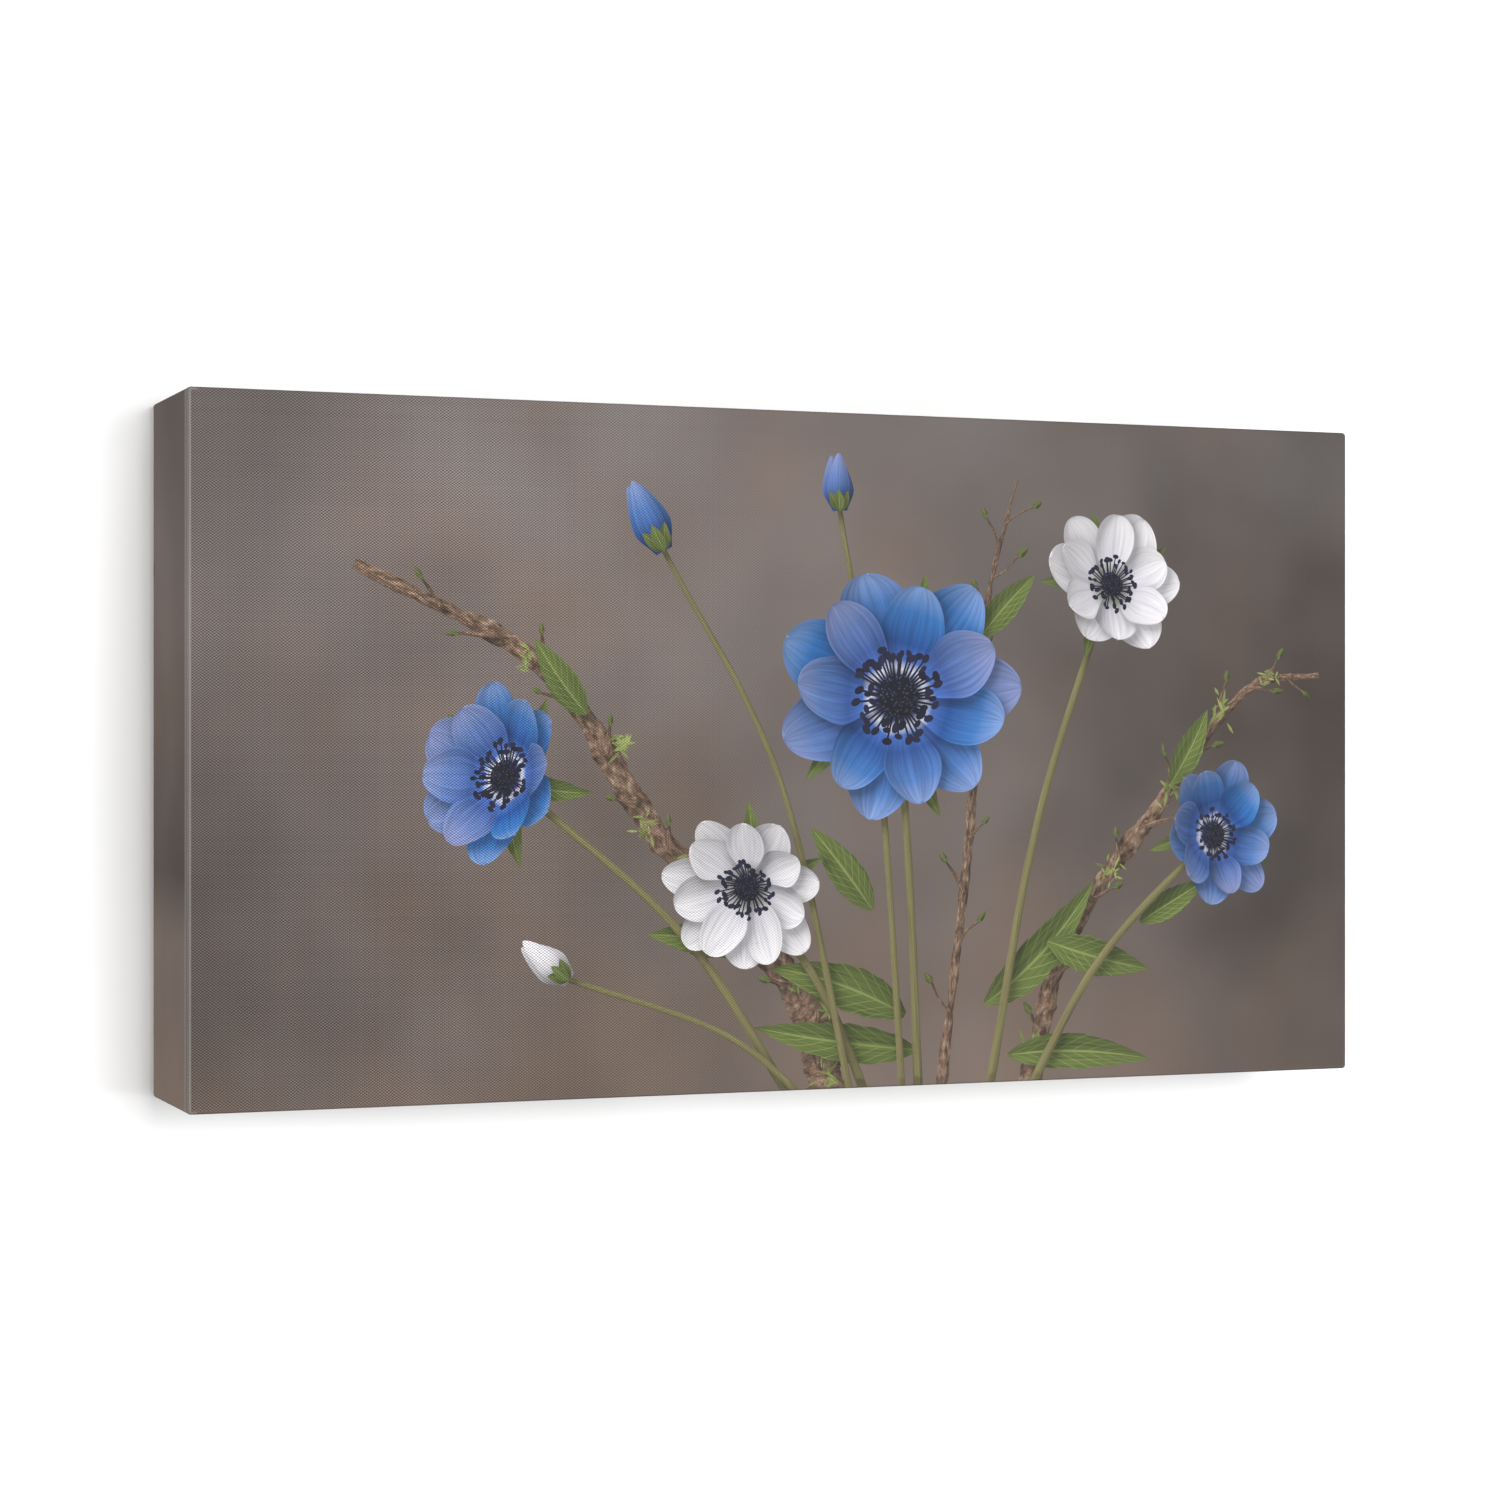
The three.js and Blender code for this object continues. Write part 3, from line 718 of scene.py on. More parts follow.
def add_to_sheet(flat_cloth, flat_picture, places, triangles, owners, used, ink, chart):
    """Adds one bent panel to the sheet, with its paint."""
    sheet["triangles"].append(triangles + sum(len(p) for p in sheet["places"]))
    sheet["places"].append(places)
    corners = triangles.ravel()
    motif, tone, variety = np.zeros((len(corners), 2)), np.ones(len(corners)), np.zeros(len(corners))
    for k in np.unique(owners[owners >= 0]):
        mine = np.flatnonzero(owners == k)
        rows = (mine[:, None] * 3 + np.arange(3)).ravel()
        wanted, back = np.unique(corners[rows], return_inverse=True)
        values, light = paint(used[k], flat_picture[wanted])
        motif[rows], tone[rows], variety[rows] = values[back], light[back], shapes[used[k]]["variety"]
        ink[mine] = INKS.index(shapes[used[k]]["ink"])
    for key, value in (("cloth", flat_cloth[corners]), ("picture", flat_picture[corners]),
                       ("motif", motif), ("tone", tone), ("variety", variety), ("ink", ink),
                       ("chart", np.full(len(corners), chart))):
        sheet[key].append(value)


def front_panel(outlines, inner):
    """The front: its edges, its rounding lines and what is drawn on it. Returns its points."""
    x_ticks, y_ticks = ticks(-HALF_W, HALF_W), ticks(-HALF_H, HALF_H)
    border = ([(x, -HALF_H) for x in x_ticks[:-1]] + [(HALF_W, y) for y in y_ticks[:-1]]
              + [(x, HALF_H) for x in x_ticks[:0:-1]] + [(-HALF_W, y) for y in y_ticks[:0:-1]])
    lines = [[(x, -HALF_H), (x, HALF_H)] for d in round_lines for x in (d - HALF_W, HALF_W - d)]
    lines += [[(-HALF_W, y), (HALF_W, y)] for d in round_lines for y in (d - HALF_H, HALF_H - d)]
    extra = fine_points(outlines, (-HALF_W + 2, -HALF_H + 2), (HALF_W - 2, HALF_H - 2))
    flat, triangles, owners = cut_panel(border, lines, extra, outlines)
    sharp = np.stack([flat[:, 0], np.full(len(flat), FRONT_Y), MIDDLE_Z + flat[:, 1]], axis=1)
    places, away = rounded(sharp)
    ink = np.full(len(triangles), INKS.index("reverse" if inner else "ground"))
    if inner:
        places, triangles = places - CLOTH * away, triangles[:, ::-1]
    add_to_sheet(flat, flat, places, triangles, owners, list(range(len(outlines))), ink, int(inner))
    return flat


def around_staples(quarter, start, end):
    """Close points on the margin round the staples, where the cloth swells."""
    half, half_out = half_sizes(quarter)
    points = honeycomb((-half, max(start, DEPTH + 1)), (half, end), 0.8)
    places = np.stack(turned(points[:, 0], half_out + DEPTH - points[:, 1], quarter), axis=1)
    return points[segment_distance(crowns[:, 0], crowns[:, 1], places).min(axis=1) < 5]


def side_strip(quarter, start, end, first_ticks, outlines, inner):
    """Cuts a strip of a side panel, from start to end of the way out from the front edge."""
    half = half_sizes(quarter)[0]

    def reach(out):
        return half - np.maximum(out - DEPTH, 0)

    outs = np.unique(np.concatenate([ticks(0, DEPTH), ticks(DEPTH, REACH), [DEPTH + BLEED]]))
    outs = outs[(outs > start + 1e-6) & (outs < end - 1e-6)]
    border = ([(a, start) for a in first_ticks] + [(reach(o), o) for o in outs]
              + [(a, end) for a in ticks(-reach(end), reach(end))[::-1]]
              + [(-reach(o), o) for o in outs[::-1]])
    near = np.array(round_lines)
    levels = np.concatenate([near, DEPTH - near, [DEPTH], DEPTH + near])
    lines = [[(-reach(o), o), (reach(o), o)] for o in levels if start < o < end]
    steps = even(start, end, 2.5)
    for side in (-1, 1):
        if start < DEPTH:
            lines += [[(side * (half - d), 0), (side * (half - d), DEPTH)] for d in round_lines]
        for shift in () if quarter % 2 else np.array(crease_lines) * math.sqrt(2):
            lines.append([(side * (half - o + shift), o) for o in steps if o - shift > 0.6])
            past = [o for o in steps if o >= DEPTH] if shift else []
            lines.append([(side * (reach(o) - shift), o) for o in past])
    extra = [] if inner else list(around_staples(quarter, start, end))
    if outlines:
        extra += list(fine_points(outlines, (-half, start), (half, end)))
    return cut_panel(border, lines, extra, outlines)


def bend_side(quarter, points, inner):
    """Places of a side panel's points once it is wrapped round the bars."""
    half_out = half_sizes(quarter)[1]
    along, out = points.T
    loose = smooth(out, REACH - 7, REACH) * smooth(half_sizes(quarter)[0] - np.abs(along), 18, 30)
    cut = out + 0.35 * loose * np.sin(along / 9 + quarter)
    x, z = turned(along, half_out - np.maximum(cut - DEPTH, 0), quarter)
    places, away = rounded(np.stack([x, FRONT_Y + np.minimum(cut, DEPTH), MIDDLE_Z + z], axis=1))
    lift = swell(along, out, quarter) - (CLOTH if inner else 0)
    if not inner:
        lift = lift + folded_corners(along, out, quarter)
    return places + away * lift[:, None]


def side_panel(quarter, first_ticks, inner):
    """One side with its margin: a printed strip and a bare one, or one strip of the reverse."""
    half_out = half_sizes(quarter)[1]
    used, outlines = [], []
    for k, shape in enumerate(() if inner else shapes):
        x, y = turned_back(*shape["outline"].T, quarter)
        outline = np.stack([x, half_out - y], axis=1)
        if outline[:, 1].min() < DEPTH + BLEED:
            used.append(k)
            outlines.append(counter_clockwise(outline))
    middle = DEPTH + BLEED
    strips = [(0, REACH, [], "reverse")] if inner else [
        (0, middle, outlines, "ground"), (middle, REACH, [], "bare canvas")]
    for start, end, drawn, ink in strips:
        points, triangles, owners = side_strip(quarter, start, end, first_ticks, drawn, inner)
        along, out = points.T
        first_ticks = np.sort(along[np.abs(out - end) < 1e-5])
        cloth = np.stack(turned(along, half_out + out, quarter), axis=1)
        picture = np.stack(turned(along, half_out - out, quarter), axis=1)
        places = bend_side(quarter, points, inner)
        if inner:
            triangles = triangles[:, ::-1]
        add_to_sheet(cloth, picture, places, triangles, owners, used,
                     np.full(len(triangles), INKS.index(ink)), int(inner))
    rim = np.abs(out - REACH) < 1e-5
    order = np.argsort(along[rim])
    return cloth[rim][order], places[rim][order]


rims = {}
for inner in (False, True):
    front = front_panel([] if inner else [s["outline"] for s in shapes], inner)
    for quarter in range(4):
        x, y = turned_back(*front.T, quarter)
        edge = np.abs(y - half_sizes(quarter)[1]) < 1e-5
        rims[inner, quarter] = side_panel(quarter, np.sort(x[edge]), inner)
print("panels:", len(sheet["places"]), "triangles:", sum(len(t) for t in sheet["triangles"]))

# %% [markdown]
# The cut edge
#
# A narrow strip joins the outer face to the inner one along the cut edge, so that the canvas
# is a closed sheet of real thickness.

# %% Close the cut edge
for quarter in range(4):
    (cloth_a, outer), (_, inner) = rims[False, quarter], rims[True, quarter]
    count = len(outer)
    outwards = np.array(turned(0, CLOTH, quarter))
    near, far = np.arange(count - 1), np.arange(count - 1) + count
    triangles = np.concatenate([np.stack([near, far, far + 1], -1), np.stack([near, far + 1, near + 1], -1)])
    flat = np.concatenate([cloth_a, cloth_a + outwards])
    add_to_sheet(flat, flat, np.concatenate([outer, inner]), triangles[:, ::-1],
                 np.full(len(triangles), -1), [], np.full(len(triangles), INKS.index("reverse")), 0)
    way = outer[-1] - outer[0]
    inwards = np.cross(way, [0, 1, 0]) / np.linalg.norm(way)
    cut_edge.append((outer, inwards * np.sign((np.array([0, 0, MIDDLE_Z]) - outer[0]) @ inwards)))
print("points along the cut edge:", sum(len(points) for points, _ in cut_edge))

# %% [markdown]
# One mesh from the panels
#
# The panels' shared points are merged, which also shows whether the sheet is closed: every edge
# has to have two triangles. The map named OFBake lays the whole sheet flat in one square, the
# outer face full size and the reverse at half size below it.

# %% Make the canvas mesh
places = np.concatenate(sheet["places"]) * MM
triangles = np.concatenate(sheet["triangles"])
mesh = bpy.data.meshes.new("canvas_sheet")
mesh.from_pydata(places.tolist(), [], triangles.tolist())
mesh.validate()


def corner_values(key):
    return np.concatenate(sheet[key]).astype(np.float32)


MAP_SIZE = 400.0  # mm of flat sheet across the whole bake map
MERGE_DISTANCE = 3e-6  # m between two panels' border points that become one
cloth_map = corner_values("cloth")
reverse_side = corner_values("chart")[:, None] > 0
full = cloth_map / MAP_SIZE + (0.5, 0.665)
half = cloth_map / (2 * MAP_SIZE) + (0.25, 0.167)
for name, values in (("OFBake", np.where(reverse_side, half, full)), ("cloth", cloth_map),
                     ("picture", corner_values("picture")), ("motif", corner_values("motif"))):
    layer = mesh.uv_layers.new(name=name)
    layer.uv.foreach_set("vector", np.ascontiguousarray(values, np.float32).ravel())
for name in ("tone", "variety"):
    layer = mesh.attributes.new(name, "FLOAT", "CORNER")
    layer.data.foreach_set("value", corner_values(name))
mesh.polygons.foreach_set("material_index", np.concatenate(sheet["ink"]).astype(np.int32))

joined = bmesh.new()
joined.from_mesh(mesh)
bmesh.ops.remove_doubles(joined, verts=[v for v in joined.verts if v.is_boundary], dist=MERGE_DISTANCE)
open_edges = sum(1 for edge in joined.edges if len(edge.link_faces) != 2)
for edge in joined.edges:
    if len(edge.link_faces) == 2:
        one, other = (face.material_index for face in edge.link_faces)
        edge.smooth = INKS.index("reverse") not in {one, other} or one == other
for face in joined.faces:
    face.smooth = True
joined.to_mesh(mesh)
joined.free()

canvas = add_object("canvas_sheet", mesh)
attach(canvas, "root")
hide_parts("canvas")
print("triangles:", len(mesh.polygons), "edges without two triangles:", open_edges)

# %% [markdown]
# Building materials from nodes
#
# These helpers add a node and link it in one line. Colours are given as they look on a screen,
# from 0 to 255, and turned to the linear values that the shader wants.

# %% Node helpers
def put(tree, kind, inputs=(), **settings):
    """Adds a node. Its inputs are numbers, colours or other nodes' outputs."""
    made = tree.nodes.new(kind)
    for name, value in settings.items():
        setattr(made, name, value)
    for key, value in inputs.items() if isinstance(inputs, dict) else enumerate(inputs):
        if isinstance(value, bpy.types.NodeSocket):
            tree.links.new(value, made.inputs[key])
        elif value is not None:
            made.inputs[key].default_value = value
    return made


def maths(tree, operation, *values):
    return put(tree, "ShaderNodeMath", values, operation=operation).outputs[0]


def mixed(tree, factor, first, second):
    made = put(tree, "ShaderNodeMix", {0: factor, 6: first, 7: second}, data_type="RGBA")
    return made.outputs[2]


def ranged(tree, value, low, high, to_low=0.0, to_high=1.0):
    return put(tree, "ShaderNodeMapRange", [value, low, high, to_low, to_high]).outputs[0]


def ramp(tree, value, *stops):
    """A colour ramp with stops of (place, colour)."""
    made = put(tree, "ShaderNodeValToRGB", [value])
    elements = made.color_ramp.elements
    while len(elements) < len(stops):
        elements.new(1.0)
    for element, (place, shade) in zip(elements, stops):
        element.position, element.color = place, shade
    return made.outputs[0]


def noise(tree, vector, scale, detail, roughness=0.5):
    return put(tree, "ShaderNodeTexNoise", {"Vector": vector, "Scale": scale, "Detail": detail,
                                            "Roughness": roughness}).outputs[0]


def vector_of(tree, x, y=0.0, z=0.0):
    return put(tree, "ShaderNodeCombineXYZ", [x, y, z]).outputs[0]


def lit_by(tree, colour, light):
    """A colour times a number."""
    return put(tree, "ShaderNodeVectorMath", [colour, vector_of(tree, light, light, light)],
               operation="MULTIPLY").outputs[0]


def length_of(tree, x, y):
    """The length of a flat vector."""
    return maths(tree, "SQRT", maths(tree, "ADD", maths(tree, "MULTIPLY", x, x),
                                     maths(tree, "MULTIPLY", y, y)))


def bumped(tree, height):
    """The normal of a surface with a fine relief, a tenth of a millimetre high."""
    return put(tree, "ShaderNodeBump", {"Strength": 0.35, "Distance": 0.0001, "Height": height}).outputs[0]


def parts_of(tree, vector):
    return put(tree, "ShaderNodeSeparateXYZ", [vector]).outputs


def object_place(tree):
    return put(tree, "ShaderNodeTexCoord").outputs["Object"]


def uv(tree, name):
    return parts_of(tree, put(tree, "ShaderNodeUVMap", uv_map=name).outputs[0])


def shade(red, green, blue):
    """A colour as it looks on a screen, made linear."""
    linear = [c / 255 / 12.92 if c <= 10 else ((c / 255 + 0.055) / 1.055) ** 2.4
              for c in (red, green, blue)]
    return (*linear, 1.0)


def new_group(name, inputs, outputs):
    """An empty node group. inputs and outputs are pairs of a name and a kind of socket."""
    tree = bpy.data.node_groups.new(name, "ShaderNodeTree")
    for way, pairs in (("INPUT", inputs), ("OUTPUT", outputs)):
        for label, kind in pairs:
            tree.interface.new_socket(label, in_out=way, socket_type="NodeSocket" + kind)
    return tree, put(tree, "NodeGroupInput").outputs


def use(tree, group, **inputs):
    made = put(tree, "ShaderNodeGroup", node_tree=group)
    for label, value in inputs.items():
        if isinstance(value, bpy.types.NodeSocket):
            tree.links.new(value, made.inputs[label])
        else:
            made.inputs[label].default_value = value
    return made.outputs


def new_material(name):
    """A material with a Principled shader, and its tree."""
    material = bpy.data.materials.new(name)
    material.use_nodes = True
    return material, material.node_tree, material.node_tree.nodes["Principled BSDF"]


def connect(tree, shader, **values):
    """Sets or links inputs of a shader. An underscore in a name stands for a space."""
    for label, value in values.items():
        socket = shader.inputs[label.replace("_", " ")]
        if isinstance(value, bpy.types.NodeSocket):
            tree.links.new(value, socket)
        else:
            socket.default_value = value


print("mid grey, linear:", round(shade(118, 118, 118)[0], 3))

# %% [markdown]
# The weave
#
# A plain weave: each thread passes over one and under the next. A sine along each thread
# carries it up and down, and the higher of the two threads shows. Its height drives the bump.
# The threads are unevenly spaced and drift along their way. Each is a little lighter or darker than its
# neighbour. The checks where an upright thread lies on top are painted lighter and the others darker, as if
# light caught them, which gives the cloth its fine checks.

# %% Plain weave group
weave, _ = new_group("Plain weave", [], [("Height", "Float"), ("Thread", "Float"), ("Over", "Float")])
THREAD, THINNER = 0.41, 0.30  # mm from one thread to the next, across and up
DRIFT = 0.45  # mm, how far a thread strays from its even place
FLATNESS, DIP = 0.7, 0.6  # how flat a thread's top is, and how far it dips under the next
x, y, _ = uv(weave, "cloth")


def uneven(across, along, seed):
    """The place across the threads, shifted so that they lie wider apart here and closer there."""
    drift = noise(weave, vector_of(weave, maths(weave, "MULTIPLY", across, 0.35),
                                   maths(weave, "MULTIPLY", along, 0.06), seed), 1.0, 2.0)
    return maths(weave, "MULTIPLY_ADD", drift, DRIFT, across)


x, y = uneven(x, y, 3.0), uneven(y, x, 8.0)
u = maths(weave, "MULTIPLY", x, math.pi / THREAD)
v = maths(weave, "MULTIPLY", y, math.pi / THINNER)
sin_u, sin_v = (maths(weave, "SINE", c) for c in (u, v))
round_u, round_v = (maths(weave, "POWER", maths(weave, "ABSOLUTE", c), FLATNESS) for c in (sin_u, sin_v))
sign_u, sign_v = (maths(weave, "SIGN", c) for c in (sin_u, sin_v))
warp = maths(weave, "MULTIPLY_ADD", maths(weave, "MULTIPLY", sign_u, sin_v), DIP, round_u)
weft = maths(weave, "MULTIPLY_ADD", maths(weave, "MULTIPLY", sign_v, sin_u), -DIP, round_v)
warp_number = maths(weave, "FLOOR", maths(weave, "DIVIDE", x, THREAD))
weft_number = maths(weave, "ADD", maths(weave, "FLOOR", maths(weave, "DIVIDE", y, THINNER)), 5000.5)
on_top = maths(weave, "GREATER_THAN", warp, weft)
number = put(weave, "ShaderNodeMix", {0: on_top, 2: weft_number, 3: warp_number}).outputs[0]
own = put(weave, "ShaderNodeTexWhiteNoise", {"W": number}, noise_dimensions="1D").outputs[0]
# Painted light and shade: which thread lies on top, for the weave's checks in the colour.
over = maths(weave, "MULTIPLY", sin_u, sin_v)
put(weave, "NodeGroupOutput", [maths(weave, "MAXIMUM", warp, weft), own, over])
print("weave nodes:", len(weave.nodes))

# %% [markdown]
# The folds
#
# Where the canvas turns over the bars' edges, the print is painted a little lighter, partly for wear and
# partly as a painted highlight where light glints on the fold: a bright line just before the fold, and a pale
# band past it that ends in a thinner line. The distance past the front's edge on the flat sheet gives all
# three. The painted glint is strongest on the left edge and faint on the lower one.

# %% Worn folds and painted glints group
folds, _ = new_group("Worn folds and painted glints", [], [("Band", "Float"), ("Lines", "Float"), ("Back", "Float"),
                                        ("Front", "Float")])
x, y, _ = uv(folds, "cloth")
past_x = maths(folds, "SUBTRACT", maths(folds, "ABSOLUTE", x), HALF_W)
past_y = maths(folds, "SUBTRACT", maths(folds, "ABSOLUTE", y), HALF_H)
past = maths(folds, "MAXIMUM", past_x, past_y)


def line_at(place, reach):
    """1 along a line at one distance past the edge, fading to 0 at its reach."""
    away = maths(folds, "ABSOLUTE", maths(folds, "SUBTRACT", past, place))
    return ranged(folds, away, reach, reach * 0.4)


# Painted highlight: the glint on the folds is strongest at the left edge and faint at the lower one.
left_glint = ranged(folds, x, 2.6 - HALF_W, 1.4 - HALF_W, 0.04, 1.0)
lower_glint = ranged(folds, y, 4.0 - HALF_H, 2.0 - HALF_H, 0.04, 0.22)
ribs = noise(folds, vector_of(folds, maths(folds, "MULTIPLY", x, 0.7), y), 2.4, 3.0)
patchy = maths(folds, "MULTIPLY", ranged(folds, ribs, 0.3, 0.65, 0.55, 1.0),
               maths(folds, "MAXIMUM", left_glint, lower_glint))
lines = maths(folds, "MULTIPLY_ADD", line_at(2.8, 0.5), 0.85, line_at(-0.38, 0.44))
band_past = maths(folds, "MULTIPLY", ranged(folds, past, -0.1, 0.4), ranged(folds, past, 3.2, 2.8))
front = ranged(folds, past, 0.4, -0.4)
put(folds, "NodeGroupOutput", [maths(folds, "MULTIPLY", band_past, patchy),
                               maths(folds, "MULTIPLY", lines, patchy), line_at(DEPTH, 1.3), front])
print("fold nodes:", len(folds.nodes))

# %% [markdown]
# The printed cloth
#
# Every ink goes through the same group. It darkens the colour by the tone of the drawn shape, paints the
# threads' light and shade into the colour, paints the folds pale for wear and as glints, and gives the bumped
# normal. The painted thread shading shows most on the left of the front, where the light rakes over them.

# %% Printed cloth group
cloth, given = new_group("Printed cloth", [("Color", "Color"), ("Threads", "Float")],
                         [("Color", "Color"), ("Normal", "Vector")])
tone = put(cloth, "ShaderNodeAttribute", attribute_name="tone").outputs["Fac"]
height, thread, over = use(cloth, weave)
band_mask, line_mask, back_mask, front_mask = use(cloth, folds)
# Painted light and shade of the threads, strongest on the left of the front, where the light rakes.
raking = ranged(cloth, uv(cloth, "cloth")[0], 0.62 * -HALF_W, 0.0, 1.0, 0.16)
raking = maths(cloth, "MULTIPLY", raking, maths(cloth, "MULTIPLY_ADD", front_mask, 0.88, 0.12))
both = maths(cloth, "MULTIPLY_ADD", ranged(cloth, thread, 0.0, 1.0, -1.0, 1.0), 0.06, over)
change = maths(cloth, "MULTIPLY", maths(cloth, "MULTIPLY", both, given["Threads"]), raking)
lit = lit_by(cloth, given["Color"], maths(cloth, "MULTIPLY", tone, maths(cloth, "ADD", change, 1.0)))
# The folds are painted pale, partly for wear and partly as painted glints.
worn_and_glinting = lit
for mask, share, bare in ((band_mask, 0.19, shade(200, 196, 192)), (line_mask, 0.22, shade(220, 217, 213)),
                          (back_mask, 0.10, shade(200, 196, 192))):
    worn_and_glinting = mixed(cloth, maths(cloth, "MULTIPLY", mask, share), worn_and_glinting, bare)
put(cloth, "NodeGroupOutput", [worn_and_glinting, bumped(cloth, height)])


def ink_material(name, draw_colour, roughness=0.72, threads=0.95):
    """A printed material. draw_colour builds its colour from the tree."""
    material, tree, shader = new_material(name)
    out = use(tree, cloth, Color=draw_colour(tree), Threads=threads)
    connect(tree, shader, Base_Color=out["Color"], Normal=out["Normal"], Roughness=roughness,
            Specular_IOR_Level=0.35)
    return material


print("printed cloth nodes:", len(cloth.nodes))

# %% [markdown]
# The inks
#
# The ground is a blur of warm and neutral grey, lighter and darker in wide soft spots. The lower end of the
# left side, past the fold, is painted lighter, as light from below. A petal's colour runs along it, from a
# pale foot to a deep middle and a lighter tip, with fine streaks, and each petal is a little different.
# Leaves have a midrib and side veins, and twigs have bark.

# %% Inks
# Light and dark spots of the ground: middle, reach and amount, in the picture and on the flat sheet.
PICTURE_SPOTS = [((-50, 60), (130, 84), 0.34), ((140, 0), (124, 120), -0.54),
                 ((40, -78), (110, 60), 0.20), ((112, -66), (50, 40), -0.12)]
SHEET_SPOTS = [((-150, -38), (64, 84), -0.41), ((-140, 84), (60, 44), -0.30),
               ((-158, 12), (44, 62), 0.19)]


def spot(tree, x, y, middle, reach, amount):
    """A soft oval, with its amount in the middle and 0 at its reach."""
    along = maths(tree, "DIVIDE", maths(tree, "SUBTRACT", x, middle[0]), reach[0])
    up = maths(tree, "DIVIDE", maths(tree, "SUBTRACT", y, middle[1]), reach[1])
    made = put(tree, "ShaderNodeMapRange", [length_of(tree, along, up), 0.0, 1.0, amount, 0.0],
               interpolation_type="SMOOTHSTEP")
    return made.outputs[0]


def ground_colour(tree):
    x, y, _ = uv(tree, "picture")
    flat_x, flat_y, _ = uv(tree, "cloth")
    light = maths(tree, "MULTIPLY_ADD", noise(tree, vector_of(tree, x, y, 3.0), 0.03, 2.0, 0.4), 0.7, 0.55)
    for values in PICTURE_SPOTS:
        light = maths(tree, "ADD", light, spot(tree, x, y, *values))
    for values in SHEET_SPOTS:
        light = maths(tree, "ADD", light, spot(tree, flat_x, flat_y, *values))
    # Painted light from below: the lower end of the left side, past the fold, is painted lighter.
    past_fold = ranged(tree, flat_x, -2.0 - HALF_W, -3.0 - HALF_W)
    painted_light_below = maths(tree, "MULTIPLY", past_fold, ranged(tree, flat_y, -26.0, -42.0, 0.0, 0.70))
    light = maths(tree, "ADD", light, painted_light_below)
    hue = noise(tree, vector_of(tree, x, maths(tree, "MULTIPLY", y, 0.8), 41.0), 0.032, 3.0)
    warm = maths(tree, "MULTIPLY_ADD", y, -0.003, ranged(tree, hue, 0.3, 0.7, 0.25, 0.80))
    warm = maths(tree, "MULTIPLY_ADD", past_fold, 0.2, warm)
    tint = ramp(tree, warm, (0.1, shade(104, 98, 96)), (0.5, shade(107, 96, 91)), (0.9, shade(109, 94, 84)))
    return lit_by(tree, tint, light)


def motif_maps(tree):
    """Along and across a motif, its own number, and fine streaks along it."""
    t, s, _ = uv(tree, "motif")
    own = put(tree, "ShaderNodeAttribute", attribute_name="variety").outputs["Fac"]
    fine = noise(tree, vector_of(tree, maths(tree, "MULTIPLY", t, 1.3),
                                 maths(tree, "MULTIPLY", s, 9.0), own), 1.0, 4.0, 0.65)
    return t, s, own, fine


def blue_petal(tree):
    t, s, own, fine = motif_maps(tree)
    base = ramp(tree, t, (0.0, shade(20, 24, 56)), (0.13, shade(56, 66, 120)),
                (0.20, shade(206, 210, 224)), (0.29, shade(64, 100, 172)),
                (0.45, shade(22, 72, 140)), (0.75, shade(42, 106, 172)), (1.0, shade(116, 146, 194)))
    lilac = maths(tree, "MULTIPLY", ranged(tree, maths(tree, "FRACT", own), 0.0, 1.0, 0.0, 0.75),
                  ranged(tree, t, 0.3, 0.9))
    tinted = mixed(tree, lilac, base, shade(124, 126, 166))
    light = maths(tree, "MULTIPLY", ranged(tree, fine, 0.3, 0.7, 0.68, 1.24),
                  ranged(tree, maths(tree, "ABSOLUTE", s), 0.86, 1.0, 1.0, 1.16))
    return lit_by(tree, tinted, light)


def white_petal(tree):
    t, _, _, fine = motif_maps(tree)
    base = ramp(tree, t, (0.0, shade(70, 76, 60)), (0.16, shade(150, 152, 140)),
                (0.34, shade(206, 203, 208)), (1.0, shade(226, 223, 224)))
    return mixed(tree, ranged(tree, fine, 0.42, 0.72, 0.0, 0.55), base, shade(150, 148, 168))


def leaf_colour(tree):
    t, s, own, fine = motif_maps(tree)
    across = maths(tree, "ABSOLUTE", s)
    base = mixed(tree, ranged(tree, fine, 0.3, 0.7), shade(62, 76, 40), shade(108, 122, 62))
    base = mixed(tree, ranged(tree, maths(tree, "FRACT", own), 0.0, 1.0, 0.0, 0.5), base,
                 shade(104, 100, 64))
    slant = maths(tree, "SUBTRACT", maths(tree, "MULTIPLY", t, 9.0), maths(tree, "MULTIPLY", across, 2.2))
    vein = ranged(tree, maths(tree, "PINGPONG", slant, 0.5), 0.07, 0.0)
    rib = ranged(tree, across, 0.09, 0.03)
    return mixed(tree, maths(tree, "MULTIPLY", maths(tree, "MAXIMUM", vein, rib), 0.55), base,
                 shade(154, 164, 96))


def twig_colour(tree):
    t, s, own, _ = motif_maps(tree)
    flakes = noise(tree, vector_of(tree, maths(tree, "MULTIPLY", t, 9.0),
                                   maths(tree, "MULTIPLY", s, 1.8), own), 1.0, 5.0, 0.7)
    return ramp(tree, flakes, (0.30, shade(52, 40, 34)), (0.46, shade(112, 88, 72)),
                (0.58, shade(150, 124, 104)), (0.72, shade(196, 178, 160)))


def stem_colour(tree):
    fine = motif_maps(tree)[3]
    return ramp(tree, fine, (0.3, shade(96, 84, 62)), (0.7, shade(150, 146, 96)))


def eye_colour(tree):
    x, y, _, _ = motif_maps(tree)
    grains = put(tree, "ShaderNodeTexVoronoi", {"Vector": vector_of(tree, x, y), "Scale": 7.0})
    return ramp(tree, grains.outputs["Distance"], (0.1, shade(74, 78, 112)), (0.45, shade(16, 17, 32)))


def plain(red, green, blue):
    return lambda tree: shade(red, green, blue)


